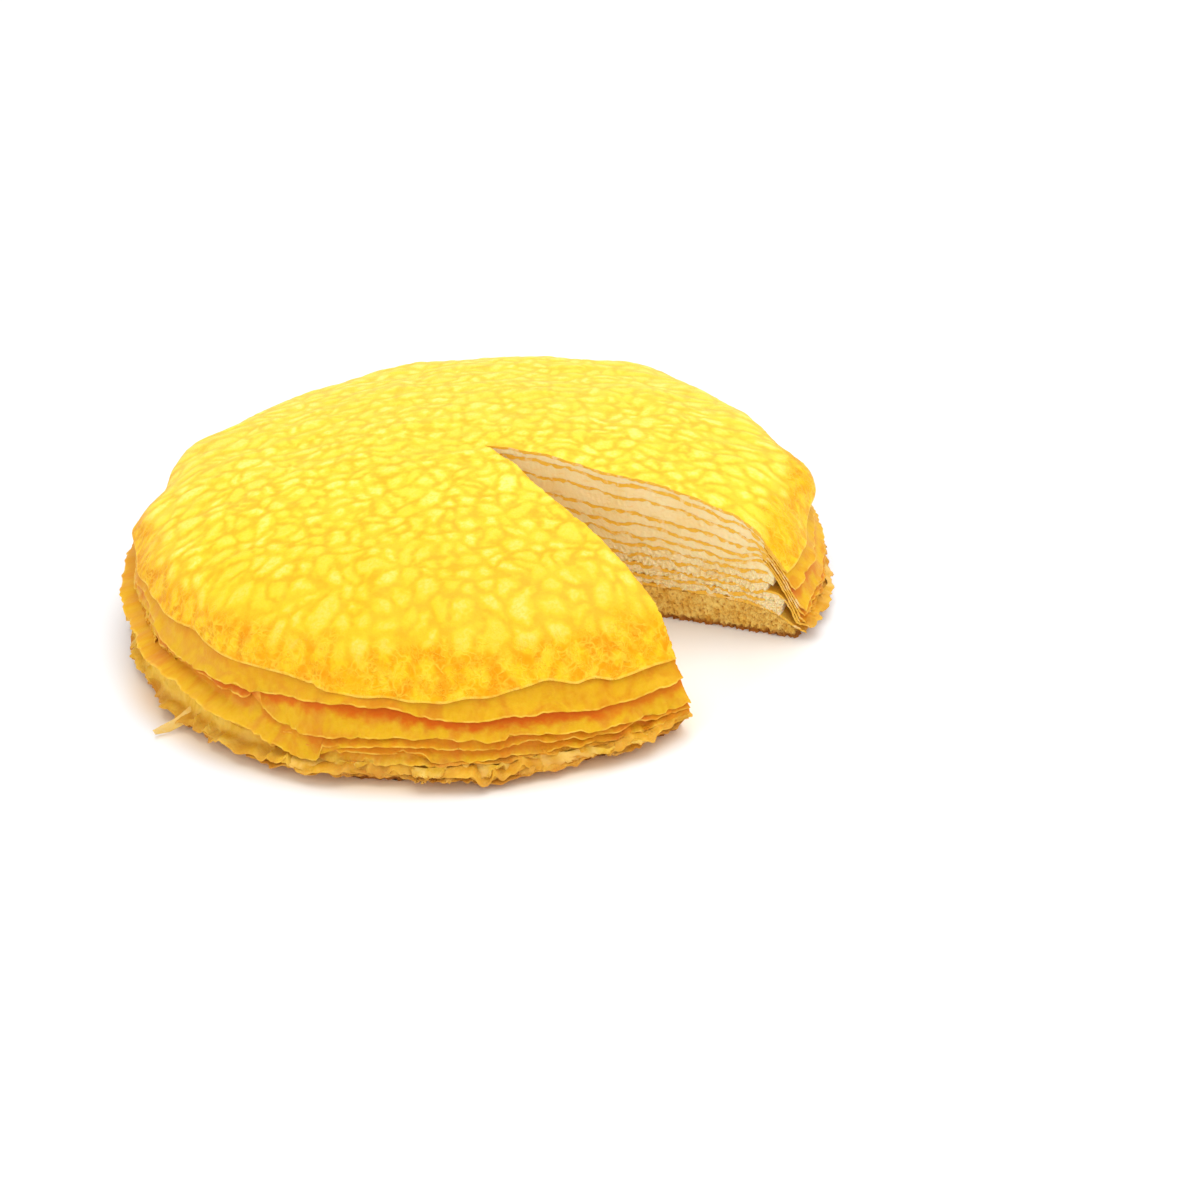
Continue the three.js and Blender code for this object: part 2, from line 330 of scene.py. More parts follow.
def crepe_face(index, station):
    """Lift of a crepe's outer face: its even place in the stack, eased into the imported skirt."""
    if index in (6, 7):
        upper = crepe_face(5, station)
        return upper + (crepe_face(8, station) - upper) * (index - 5) / 3
    if index == 9:
        return (crepe_face(8, station) + crepe_face(10, station)) / 2
    if index == 10:
        return np.full_like(station, FIRST_FACE)
    room = room_at(station)
    even = FIRST_FACE + stack_share(index) * (room - FIRST_FACE)
    packing = smooth(station, 4.2, 6) if index <= 5 else smooth(station, 5, 8.2)
    return even + (room - min(index, 6) * PACKED_PITCH - even) * packing


def ring_point(turn, radius):
    """Where the ray from the wedge's tip meets a circle. The circles share the cake's axis from a
    radius of 40 mm on, and nearer in their centre moves to the wedge's tip."""
    direction = np.radians(FAR_CUT + turn * (NEAR_CUT - FAR_CUT))
    ray = np.stack([np.cos(direction), np.sin(direction)], -1)
    centre = WEDGE_TIP * (1 - smooth(radius / CENTRE_BLEND_RADIUS))[..., None]
    start = WEDGE_TIP - centre
    across = (start * ray).sum(-1)
    reach = -across + np.sqrt(np.maximum(across**2 - (start**2).sum(-1) + radius**2, 0))
    return WEDGE_TIP + ray * reach[..., None], centre


def bearing(place):
    """Angle of a point about the cake's axis."""
    return np.degrees(np.arctan2(place[..., 1], place[..., 0]))


def between_nodes(grid, column, row):
    """Value of a grid between its nodes, by linear interpolation both ways."""
    left = np.minimum(column.astype(int), grid.shape[0] - 2)
    low = np.minimum(row.astype(int), grid.shape[1] - 2)
    across = column - left
    up = row - low
    near = grid[left, low] * (1 - up) + grid[left, low + 1] * up
    far = grid[left + 1, low] * (1 - up) + grid[left + 1, low + 1] * up
    return near * (1 - across) + far * across


def sample(field, turn, station):
    """Value of a lattice field at a turn and a station."""
    column = np.clip(turn, 0, 1) * (LATTICE_TURNS - 1)
    row = np.clip(station / LAST_STATION, 0, 1) * (LATTICE_STATIONS - 1)
    return between_nodes(field, column, row)


def frayed_height(index, angle):
    """Height of a skirt's free edge: its chosen heights, plus waves, nicks and narrow tears."""
    waves, nicks, tear_depth, tear_count = FRAYING[index]
    distance = np.unwrap(np.radians(angle)) * 100
    line = distance[:, None]
    height = follow_around(SKIRT_EDGES[index], angle)
    height = height + waves * swell(line, 11, 100 + index)
    nicks = nicks * (0.25 + 1.5 * smooth(swell(line, 45, 150 + index), -0.6, 1.2))
    height = height + 0.6 * nicks * fray(distance, 2.4, 200 + index)
    height = height + 0.4 * nicks * fray(distance, 1.1, 250 + index)
    dice = np.random.default_rng(300 + index)
    places = dice.uniform(distance.min(), distance.max(), tear_count)
    depths = dice.uniform(0.3, 1, tear_count) * tear_depth
    widths = dice.uniform(0.3, 1.1, tear_count)
    tears = depths * np.exp(-np.abs((line - places) / widths) ** 1.5)
    return np.maximum(height + tears.max(axis=1), 0.15)


@functools.lru_cache(maxsize=None)
def cake_shape():
    """Lattice of the whole cake: each crepe's lift and thickness, and the station of its free edge.

    A crepe's lift is its place in the stack, plus waves near the cuts, pleats in the skirt and a flare
    along its free edge. From the sponge outward each crepe is then pushed clear of those inside it.
    """
    thickness = millimetres("crepe_thickness")
    turn = np.linspace(0, 1, LATTICE_TURNS)
    station = np.linspace(0, LAST_STATION, LATTICE_STATIONS)
    turns, stations = np.meshgrid(turn, station, indexing="ij")
    ring = along(OUTER_LINE, stations)
    place, _ = ring_point(turns, ring[..., 0])
    sheet = np.concatenate([place, ring[..., 1:]], -1)
    rim, _ = ring_point(turn, np.full_like(turn, SKIRT_RADIUS))
    angle = bearing(rim)
    to_cut = np.minimum(turns, 1 - turns) * CAKE_SPAN * np.maximum(ring[..., 0], 1)
    near_cut = np.exp(-to_cut / 5)
    stack = smooth(stations, 0, 0.6) * (1 - smooth(stations, 5.2, 6.4))
    skirt = smooth(stations, 4.6, 6.4)
    lifts, thicknesses, edges = {}, {}, {}
    inside = np.full_like(stations, SPONGE_GAP)
    for index in reversed(range(CREPE_COUNT)):
        unevenness = 0.3 if index == 0 else 1
        face = crepe_face(index, station)
        edge = np.full_like(turn, BURIED_EDGE)
        if index in SKIRT_EDGES:
            low = along(SPONGE_LINE, station)
            heights = low + (along(OUTER_LINE, station) - low) * (face / room_at(station))[:, None]
            side = station >= 4.3
            edge = np.interp(-frayed_height(index, angle), -heights[side, 1], station[side])
        to_edge = edge[:, None] - stations
        wobble = 0.26 * swell(sheet[..., :2], 9, 400 + index)
        wobble = (wobble + 0.09 * swell(sheet[..., :2], 3.2, 430 + index)) * unevenness
        pleats = 0.1 * swell(sheet * (1, 1, 0.35), 13, 460 + index)
        lift = face + wobble * near_cut * stack * smooth(face, 0.8, 3) + pleats * skirt
        if index in FLARES:
            reach, length = FLARES[index]
            swing = 1 + 0.7 * swell(rim, 30, 500 + index) + 0.2 * swell(rim, 8, 530 + index)
            swing = np.clip(swing, 0.1, 2.4)
            lift = lift + reach * swing[:, None] * smooth(1 - to_edge / length) ** 1.4 * skirt
        swollen = 0.5 + 0.45 * swell(sheet[..., :2], 3.4, 560 + index)
        thick = thickness * (1 + swollen * near_cut * stack * unevenness)
        thick = np.clip(thick, 0.35, 1.35) * (0.36 + 0.64 * smooth(to_edge, 0, 0.3))
        lift = np.maximum(lift, inside + thick + CREPE_GAP)
        inside = np.where(to_edge > -0.05, lift, inside)
        lifts[index], thicknesses[index], edges[index] = lift, thick, edge
    return {"lift": lifts, "thickness": thicknesses, "edge": edges, "turn": turn}


def edge_station(index, turn):
    """Station of a crepe's free edge at a turn."""
    shape = cake_shape()
    return np.interp(turn, shape["turn"], shape["edge"][index])


def angle_at(turn):
    """Angle about the cake's axis, on the skirts, at a turn."""
    place, _ = ring_point(turn, np.full_like(turn, SKIRT_RADIUS))
    return bearing(place)


def edge_push(index, turn, station):
    """Outward push of a crepe near its free edge: its reach there, plus a flutter."""
    if index not in REACHES:
        return 0.0
    points, length = REACHES[index]
    to_edge = edge_station(index, turn) - station
    angle = angle_at(turn)
    slow = swell(angle[..., None], 5, 520 + index)
    quick = swell(angle[..., None], 1.7, 540 + index)
    reach = follow_around(points, angle) + FLUTTERS[index] * (0.6 * slow + 0.4 * quick)
    return reach * smooth(1 - to_edge / length)


def crepe_point(index, turn, station, lift, rough=0.0, seed=0):
    """Point of a crepe, with its own bulges and the reach of its free edge."""
    push = edge_push(index, turn, station)
    return to_space(turn, station, lift, BULGES.get(index, ()), rough, seed, push)


def to_space(turn, station, lift, bulges=(), rough=0.0, seed=0, push=0.0):
    """Point at a turn, a station and a lift: the half section's point at that lift, moved by the cake's
    shared swell, an outward push and bulges, and turned about the wedge's tip. At the cuts, roughness
    moves it across."""
    low = along(SPONGE_LINE, station)
    high = along(OUTER_LINE, station)
    part = (lift / room_at(station))[..., None]
    section = low + (high - low) * part
    base, _ = ring_point(turn, high[..., 0])
    shell = np.concatenate([base, high[..., 1:]], -1)
    side = smooth(station, 3, 6)
    outward = 0.45 * swell(shell, 26, 11) + 0.17 * swell(shell, 11, 12)
    upward = 0.3 * swell(shell, 26, 13) + 0.14 * swell(shell, 9, 14)
    foot = 1 - 0.8 * smooth(station, 8.5, 10)
    radius = section[..., 0] + outward * side * part[..., 0] * foot + push
    height = section[..., 1] + upward * (1 - 0.7 * side) * part[..., 0]
    angle = bearing(base)
    for at, spread, reach, rise, middle, length in bulges:
        across = ((angle - at + 180) % 360 - 180) / spread
        strength = np.exp(-(across**2) - ((station - middle) / length) ** 2)
        radius = radius + reach * strength
        height = height + rise * strength
    place, _ = ring_point(turn, radius)
    points = np.concatenate([place, np.maximum(height, 0.05)[..., None]], -1)
    if rough:
        shake = rough * (0.6 * swell(points, 1.6, seed) + 0.4 * swell(points, 0.7, seed + 1))
        push_cuts(points, turn, radius, shake, 0.4)
    return points


def push_cuts(points, turn, radius, push, length):
    """Moves points across the nearer cut. The push fades out over a length from the cut, as the
    exponential of minus the distance, and near the wedge's tip."""
    push = push * smooth(radius, 0.5, 4)
    for start, normal in ((0.0, np.radians(FAR_CUT - 90)), (1.0, np.radians(NEAR_CUT + 90))):
        weight = np.exp(-np.abs(turn - start) * CAKE_SPAN * np.maximum(radius, 1) / length)
        points[..., 0] += np.cos(normal) * push * weight
        points[..., 1] += np.sin(normal) * push * weight


# ---------------------------------------------------------------------------------------------
# Woven meshes
# ---------------------------------------------------------------------------------------------


def weave(rows):
    """Triangles between each row of points and the next. A row is (positions along it, coordinates).

    Each segment of one row is joined to the point of the other row that lies opposite its middle.
    """
    coordinates = np.concatenate([points for _, points in rows])
    starts = np.concatenate([[0], np.cumsum([len(at) for at, _ in rows])])
    triangles = []
    for number, ((first_at, _), (second_at, _)) in enumerate(zip(rows[:-1], rows[1:])):
        first = starts[number] + np.arange(len(first_at))
        second = starts[number + 1] + np.arange(len(second_at))
        first_middle = (first_at[1:] + first_at[:-1]) / 2
        second_middle = (second_at[1:] + second_at[:-1]) / 2
        opposite_first = second[np.searchsorted(second_middle, first_middle)]
        opposite_second = first[np.searchsorted(first_middle, second_middle, side="right")]
        triangles.append(np.column_stack([first[1:], first[:-1], opposite_first]))
        triangles.append(np.column_stack([second[:-1], second[1:], opposite_second]))
    return coordinates, np.concatenate(triangles)


def block_row(turn, share, depth):
    """Rows of block coordinates from numbers and arrays of one length."""
    return np.stack(np.broadcast_arrays(np.atleast_1d(turn), share, depth), -1).astype(float)


def ring_row(share, depth, columns):
    """Row of block coordinates all round at one share and depth, or one point at the wedge's tip."""
    if share == 0:
        return np.array([0.5]), block_row(0.5, 0.0, depth)
    at = np.linspace(0, 1, columns + 1)
    return at, block_row(at, share, depth)


def ring_block(shares, outer_columns, inner_columns, depth_steps):
    """Skin of a block woven from rings: outer face outward, free edge down, inner face back inward."""
    depths = np.linspace(0, 1, depth_steps + 1)
    rows = [ring_row(share, 0.0, count) for share, count in zip(shares, outer_columns)]
    rows += [ring_row(1.0, depth, outer_columns[-1]) for depth in depths[1:-1]]
    rows += [ring_row(share, 1.0, count) for share, count in zip(shares[::-1], inner_columns[::-1])]
    return [weave(rows)] + cut_faces(shares, depths)


def slice_block(fine_shares, coarse_shares, depth_steps):
    """Skin of a hidden block woven from slices: fine ones at the two cuts and coarse ones between."""
    depths = np.linspace(0, 1, depth_steps + 1)
    turns = np.concatenate([[0], np.linspace(0.004, 0.996, COARSE_COLUMNS), [1]])
    rows = []
    for turn in turns:
        shares = fine_shares if turn in (0, 1) else coarse_shares
        path = [block_row(turn, shares, 1.0), block_row(turn, 1.0, depths[-2:0:-1])]
        path.append(block_row(turn, shares[::-1], 0.0))
        at = np.concatenate([shares, 1 + (1 - depths[-2:0:-1]), 3 - shares[::-1]])
        rows.append((at, np.concatenate(path)))
    return [weave(rows)] + cut_faces(fine_shares, depths)


def cut_faces(shares, depths):
    """The two flat cuts of a block, as grids of share and depth."""
    near = [(depths, block_row(1.0, share, depths)) for share in shares]
    far = [(depths, block_row(0.0, share, depths[::-1])) for share in shares]
    return [weave(near), weave(far)]


def build_piece(name, patches, place, materials, node, attributes=None):
    """Welds patches of block coordinates into one closed mesh and hangs it on the frame.

    place turns block coordinates into millimetres, and attributes gives named values for them. The
    first patch is the skin, and the others are cuts, which take the second material.
    """
    offsets = np.concatenate([[0], np.cumsum([len(c) for c, _ in patches])])
    coordinates = np.concatenate([c for c, _ in patches])
    triangles = np.concatenate([t + offset for (_, t), offset in zip(patches, offsets)])
    surfaces = np.concatenate([np.full(len(t), min(number, 1)) for number, (_, t) in enumerate(patches)])
    points = place(coordinates)
    first, triangles, whole = weld(points, triangles)
    values = attributes(coordinates[first]) if attributes else {}
    piece = hang_mesh(name, points[first], triangles, surfaces[whole], materials, values)
    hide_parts(node)


def mesh_object(name, points, triangles, materials):
    """Smooth-shaded mesh object from arrays of points in millimetres and of triangles."""
    mesh = bpy.data.meshes.new(name)
    mesh.from_pydata((points * MILLIMETRE).tolist(), [], triangles.tolist())
    for material in materials:
        mesh.materials.append(material)
    mesh.polygons.foreach_set("use_smooth", np.ones(len(triangles), bool))
    mesh.update()
    made = bpy.data.objects.new(name, mesh)
    bpy.context.scene.collection.objects.link(made)
    return made


def hang_mesh(name, points, triangles, surfaces, materials, values):
    """Mesh object on the cake's body: surfaces numbers each triangle's material, and values are kept as
    the mesh's attributes. Edges that turn by more than the sharp angle are shaded as corners."""
    piece = mesh_object(name, points, triangles, materials)
    mesh = piece.data
    mesh.polygons.foreach_set("material_index", surfaces.astype(np.int32))
    for label, array in values.items():
        kind, field = ("FLOAT_VECTOR", "vector") if array.ndim == 2 else ("FLOAT", "value")
        layer = mesh.attributes.new(label, kind, "POINT")
        layer.data.foreach_set(field, array.astype(np.float32).ravel())
    mesh.update()
    mesh.set_sharp_from_angle(angle=np.radians(SHARP_ANGLE))
    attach(piece, BODY)
    return piece


def weld(points, triangles):
    """Merges points at one place and drops the triangles that this leaves without an area."""
    keys = np.round(points * WELD_STEPS).astype(np.int64)
    _, first, inverse = np.unique(keys, axis=0, return_index=True, return_inverse=True)
    triangles = inverse.reshape(-1)[triangles]
    a, b, c = triangles.T
    whole = (a != b) & (b != c) & (c != a)
    return first, triangles[whole], whole


# ---------------------------------------------------------------------------------------------
# Layers
# ---------------------------------------------------------------------------------------------


def section_lengths():
    """Closely spaced stations, and the distance of each from the middle along the outer line."""
    stations = np.linspace(0, LAST_STATION, int(LAST_STATION) * STATION_STEPS + 1)
    steps = np.linalg.norm(np.diff(along(OUTER_LINE, stations), axis=0), axis=1)
    return stations, np.concatenate([[0], np.cumsum(steps)])


def sheet_coordinates(turn, station):
    """A crepe unrolled flat: distance along its section from the middle, in the point's direction."""
    radius = along(OUTER_LINE, station)[..., 0]
    place, centre = ring_point(turn, radius)
    length = np.interp(station, *section_lengths())
    stretch = np.where(radius > 0.01, length / np.maximum(radius, 0.01), 1)
    flat = centre + (place - centre) * stretch[..., None]
    return np.concatenate([flat, np.zeros_like(flat[..., :1])], -1)


def draw_in(flat):
    """The flat crepe with its rim drawn in, so that cells near the rim come out longer."""
    length = np.linalg.norm(flat, axis=1)
    drawn = length - 0.36 * np.maximum(length - 72, 0)
    return flat * (drawn / np.maximum(length, 1e-6))[:, None]


def blister_cells(flat):
    """Distance to the edge of the nearest blister cell, in millimetres, and a random tone for each cell.

    Cells are the places nearest to each of a scatter of sites: one a square, moved at random, with some
    left out so that their neighbours grow. The distance is a soft minimum, which rounds the corners.
    """
    size = millimetres("cell_width")
    flat = draw_in(flat[:, :2])
    warp = np.stack([swell(flat, 14, 21), swell(flat, 14, 22)], -1) * 0.8
    fine = np.stack([swell(flat, 4.6, 23), swell(flat, 4.6, 24)], -1) * 0.2
    spot = (flat + warp + fine) / size
    count = 96
    dice = np.random.default_rng(31)
    jitter = dice.uniform(0.12, 0.88, (count, count, 2))
    missing = dice.random((count, count)) < 0.1
    tones = dice.random((count, count))
    home = np.floor(spot).astype(int)
    steps = np.array([(x, y) for x in range(-2, 3) for y in range(-2, 3)])
    square = home[:, None, :] + steps
    lattice = (square + count // 2) % count
    sites = square + jitter[lattice[..., 0], lattice[..., 1]]
    sites = np.where(missing[lattice[..., 0], lattice[..., 1]][..., None], 1e3, sites)
    gaps = np.linalg.norm(sites - spot[:, None, :], axis=-1)
    nearest = gaps.argmin(axis=1)
    rows = np.arange(len(spot))
    own = sites[rows, nearest][:, None, :]
    between = sites - own
    spread = np.linalg.norm(between, axis=-1)
    middle = (sites + own) / 2 - spot[:, None, :]
    edge = (middle * between).sum(-1) / np.maximum(spread, 1e-9) * size
    edge[rows, nearest] = 50.0
    rounded = -np.log(np.exp(-CELL_ROUNDING * edge).sum(axis=1)) / CELL_ROUNDING
    own_square = lattice[rows, nearest]
    return np.maximum(rounded, -0.5), tones[own_square[:, 0], own_square[:, 1]]


def crepe_station(index, share, edge):
    """Station of a share: up to the switch share it runs evenly to the station where the skirt starts,
    and then evenly to the free edge."""
    start = SKIRT_STARTS.get(index, BURIED_START)
    inner = share / SWITCH_SHARE * start
    outer = start + (share - SWITCH_SHARE) / (1 - SWITCH_SHARE) * (edge - start)
    return np.where(share < SWITCH_SHARE, inner, outer)


def crepe_place(index):
    """Two functions of a crepe's block coordinates: their station, rounded over at the free edge, and
    their place."""
    shape = cake_shape()

    def station_of(coordinates):
        """Station of block coordinates, rounded over where the crepe ends."""
        turn, share, depth = coordinates.T
        rounding = 0.004 * 4 * depth * (1 - depth) * (share >= 1)
        return crepe_station(index, share, edge_station(index, turn)) + rounding

    def place(coordinates):
        """Point of block coordinates, as far in from the outer face as their depth says."""
        turn, _, depth = coordinates.T
        station = station_of(coordinates)
        lift = sample(shape["lift"][index], turn, station)
        lift = lift - depth * sample(shape["thickness"][index], turn, station)
        if index == 0:
            lift = lift + top_relief(turn, station) * (1 - depth)
        return crepe_point(index, turn, station, lift, CREPE_ROUGHNESS, 700 + 2 * index)

    return station_of, place


def top_relief(turn, station):
    """Relief of the top crepe: low blisters on top, and creases that grow towards its free edge."""
    flat = sheet_coordinates(turn, station)
    edge, _ = blister_cells(flat)
    side = smooth(station, 4.3, 6)
    blister = 0.2 * smooth(edge, 0, 1.6) * (1 - 0.6 * side)
    wide = np.exp(-np.abs(swell(flat[:, :2], 7, 41)) * 2.5) * 0.22
    narrow = np.exp(-np.abs(swell(flat[:, :2], 3.2, 42)) * 2.5) * 0.15
    return blister + (wide + narrow) * side


def crepe_attributes(index, station_of):
    """Values that the crepe's skin reads: flat coordinates and distance to its free edge. The top crepe adds
    how far it is down the side and its cells, and the others add distance from the free edge that covers
    them, how strongly shade is painted under that edge, and their tan places."""

    def values(coordinates):
        """The values by name."""
        turn = coordinates[:, 0]
        station = station_of(coordinates)
        flat = sheet_coordinates(turn, station)
        lip = (edge_station(index, turn) - station) * STATION_LENGTH
        if index == 0:
            cell, tone = blister_cells(flat)
            return {"sheet": flat, "lip": lip, "side": smooth(station, 3.6, 6.2), "cell": cell, "tone": tone}
        cover = np.zeros_like(turn)
        for outer in range(index):
            if outer in SKIRT_EDGES:
                cover = np.maximum(cover, edge_station(outer, turn))
        angle = angle_at(turn)
        return {
            "sheet": flat,
            "lip": lip,
            "shelter": (station - cover) * STATION_LENGTH,
            "recess": follow_around(RECESS_SHADES.get(index, NOWHERE), angle),
            "tan": follow_around(TANS.get(index, NOWHERE), angle),
        }

    return values


def build_crepe(index, materials):
    """One crepe: a thin block from the wedge's tip to its free edge."""
    name = f"crepe_{index + 1:02d}"
    station_of, place = crepe_place(index)
    if index in SKIRT_EDGES:
        patches = ring_block(*crepe_rings(index), 3)
    else:
        patches = slice_block(np.linspace(0, 1, 240), np.linspace(0, 1, 36), 3)
    build_piece(name + "_sheet", patches, place, materials, name, crepe_attributes(index, station_of))


def crepe_rings(index):
    """Shares of a crepe's rings, and how many columns its outer and inner face have on each. The top
    crepe is evenly fine, and the others are fine from the station at which they are seen."""
    spacing = millimetres("mesh_spacing")
    inner_step, outer_step, column_width, most_rows = 0.85, 0.6, 0.62, 44
    if index == 0:
        inner_step, outer_step, column_width, most_rows = spacing, spacing, spacing, 48
    stations, lengths = section_lengths()
    inner_length = np.interp(SKIRT_STARTS[index], stations[::STATION_STEPS], lengths[::STATION_STEPS])
    outer_rows = min(int((SECTION_LENGTH - inner_length) / outer_step), most_rows)
    shares = np.concatenate([
        np.linspace(0, SWITCH_SHARE, int(inner_length / inner_step), endpoint=False),
        np.linspace(SWITCH_SHARE, 1, outer_rows)[:-1],
        [0.9985, 1.0],
    ])
    stations = crepe_station(index, shares, 9.0)
    around = CAKE_SPAN * along(OUTER_LINE, stations)[:, 0]
    fine = np.maximum((around / column_width).astype(int), 6)
    inner = np.minimum(fine, COARSE_COLUMNS)
    outer = np.where(stations >= SEEN_FROM[index], fine, inner)
    inner[-3:] = fine[-3:]
    inner[-1] = outer[-1]
    return shares, outer, inner


def build_cream(index, materials):
    """One cream layer: it fills the room between two crepes and ends where their skirts meet."""
    shape = cake_shape()
    name = f"cream_{index + 1:02d}"
    end = CREAM_ENDS[index]
    rough = 0.07 + 0.3 * smooth(index, 4, 8)
    bulges = BULGES[8] if index > 7 else ()

    def place(coordinates):
        """Point of block coordinates, between the crepe above at depth 0 and the crepe below at depth 1."""
        turn, share, depth = coordinates.T
        station = share * end
        roof = sample(shape["lift"][index], turn, station)
        roof = roof - sample(shape["thickness"][index], turn, station) + CREAM_OVERLAP
        floor = sample(shape["lift"][index + 1], turn, station) - CREAM_OVERLAP
        lift = roof + (np.minimum(floor, roof - 0.02) - roof) * depth
        return to_space(turn, station, lift, bulges, rough, 800 + 2 * index)

    patches = slice_block(np.linspace(0, 1, 300), np.linspace(0, 1, 30), 9)
    build_piece(name + "_filling", patches, place, materials, name)


def build_sponge(materials):
    """The sponge base: its top follows the sponge line, its underside is flat, and its crumb is rough."""

    def place(coordinates):
        """Point of block coordinates, between the sponge line at depth 0 and the table at depth 1."""
        turn, share, depth = coordinates.T
        station = share * LAST_STATION
        section = along(SPONGE_LINE, station)
        radius = section[:, 0]
        height = section[:, 1] * (1 - depth)
        place_xy, _ = ring_point(turn, radius)
        points = np.concatenate([place_xy, height[:, None]], -1)
        side = smooth(station, 7, 8.5)
        crumb = 0.35 * swell(points, 2.2, 901) + 0.2 * swell(points, 0.9, 902)
        away = points[:, :2] / np.maximum(np.linalg.norm(points[:, :2], axis=1), 1)[:, None]
        points[:, :2] += away * (crumb * side)[:, None]
        push_cuts(points, turn, radius, crumb_relief(points), 0.3)
        return points

    shares = np.concatenate([np.linspace(0, 0.8, 250, endpoint=False), np.linspace(0.8, 1, 24)])
    hidden = np.minimum(COARSE_COLUMNS, 6 + (shares * 900).astype(int))
    columns = np.where(shares < 0.68, hidden, 550)
    inner = np.minimum(columns, COARSE_COLUMNS)
    inner[-3:] = columns[-3:]
    patches = ring_block(shares, columns, inner, 26)
    build_piece("sponge_base", patches, place, materials, "sponge")


def crumb_relief(points):
    """Open crumb: pits where two random swells fall low at once, and grains of two sizes between them."""
    pits = np.minimum(swell(points, 2.6, 911), swell(points, 1.8, 912))
    grains = 0.2 * swell(points, 1.5, 913) + 0.16 * swell(points, 0.8, 914)
    return grains - 0.7 * smooth(-pits, 0.3, 1.3)


# ---------------------------------------------------------------------------------------------
# Shreds
# ---------------------------------------------------------------------------------------------


@functools.lru_cache(maxsize=None)
def skin_table():
    """Radius of the skirts for every third lattice turn and each level of height: the largest radius that
    any crepe's outer face has there."""
    shape = cake_shape()
    turn = shape["turn"][::3]
    stations = np.linspace(4.6, LAST_STATION, 180)
    levels = SKIN_HEIGHT * SKIN_LEVELS
    table = np.full((len(turn), levels + 1), 90.0)
    rows = np.arange(len(turn))[:, None]
    for index in SKIRT_EDGES:
        station = np.minimum(stations, edge_station(index, turn)[:, None])
        turns = np.broadcast_to(turn[:, None], station.shape)
        points = crepe_point(index, turns, station, sample(shape["lift"][index], turns, station))
        radius = np.hypot(points[..., 0], points[..., 1])
        level = np.clip(np.round(points[..., 2] * SKIN_LEVELS).astype(int), 0, levels)
        np.maximum.at(table, (np.broadcast_to(rows, level.shape), level), radius)
    table[:, 0] = np.maximum(table[:, 0], table[:, 1])
    return table


def skin_radius(turn, height):
    """Radius of the skirts at a turn and a height."""
    table = skin_table()
    column = np.clip(turn, 0, 1) * (len(table) - 1)
    return between_nodes(table, column, np.clip(height, 0, SKIN_HEIGHT) * SKIN_LEVELS)


def thin_sheets(middle, thickness):
    """Closed thin sheets from grids of middle points: two faces that meet all round the grid's border.

    The faces stand off the middle by half the thickness, and meet at the border itself.
    """
    across, down = middle.shape[1:3]
    normal = np.cross(np.gradient(middle, axis=1), np.gradient(middle, axis=2))
    normal /= np.maximum(np.linalg.norm(normal, axis=-1), 1e-9)[..., None]
    u = np.linspace(-1, 1, across)[:, None]
    v = np.linspace(-1, 1, down)
    body = np.ones((across, down)) * (np.abs(u) < 1) * (np.abs(v) < 1)
    offset = normal * (thickness / 2 * body)[None, ..., None]
    points = np.concatenate([(middle + offset).reshape(-1, 3), (middle - offset).reshape(-1, 3)])
    index = np.arange(middle[..., 0].size).reshape(middle.shape[:3])
    a, b = index[:, :-1, :-1].ravel(), index[:, 1:, :-1].ravel()
    c, d = index[:, 1:, 1:].ravel(), index[:, :-1, 1:].ravel()
    front = np.concatenate([np.column_stack([a, b, c]), np.column_stack([a, c, d])])
    back = front[:, ::-1] + index.size
    return points, np.concatenate([front, back])


def shred_grid(angle, height, width, drop, curl, seed, lowest_skin=0.8):
    """Middle surfaces of shreds, one a row. Across a shred the angle grows by its width, and down it the
    height falls by its drop while the radius grows with the square of the way down, by its curl. They
    follow the skirts down to the lowest height at which those count."""
    dice = np.random.default_rng(seed)
    count = len(angle)
    across, down = 21, 12
    u = np.concatenate([[-1], np.linspace(-0.99, 0.99, across - 2), [1]])[None, :, None]
    v = np.concatenate([np.linspace(0, 0.99, down - 1), [1]])[None, None, :]
    angle, height, width, drop, curl = (part[:, None, None] for part in (angle, height, width, drop, curl))

    def draw(low, high):
        """One random number for each shred."""
        return dice.uniform(low, high, (count, 1, 1))

    jag = dice.uniform(-1, 1, (2, count, 1, down))
    jag[..., -1] = jag[..., -2]
    left = 1 - draw(0.3, 0.95) * v + 0.2 * jag[0] * v
    right = 1 - draw(0.3, 0.95) * v + 0.2 * jag[1] * v
    outline = np.where(u < 0, u * left, u * right) + draw(-0.4, 0.4) * v
    bite = dice.uniform(0, 1, (count, across, 1))
    bite[:, 0] = bite[:, 1]
    bite[:, -1] = bite[:, -2]
    torn = 1 - 0.4 * bite - 0.3 * u * draw(-1, 1)
    theta = angle + np.degrees(outline * width / 2 / SHRED_RADIUS)
    turn = ((theta - FAR_CUT) % 360) / (NEAR_CUT - FAR_CUT)
    level = np.broadcast_to(height - drop * v * torn, theta.shape)
    skin = skin_radius(turn, np.maximum(level, lowest_skin))
    wave = np.sin(outline * draw(2, 5) + draw(0, 6))
    radius = skin - 0.3 + 0.5 * v + curl * v**2 * (1 + 0.5 * wave)
    x = radius * np.cos(np.radians(theta))
    y = radius * np.sin(np.radians(theta))
    return np.stack([x, y, np.maximum(level + 0.4 * curl * v**2 * wave, 0.2)], -1)


def build_shreds(name, material, middle, thickness):
    """One piece of loose shreds, each a closed thin sheet."""
    points, triangles = thin_sheets(middle, thickness)
    first, triangles, _ = weld(points, triangles)
    hang_mesh(name, points[first], triangles, np.zeros(len(triangles)), [material], {})


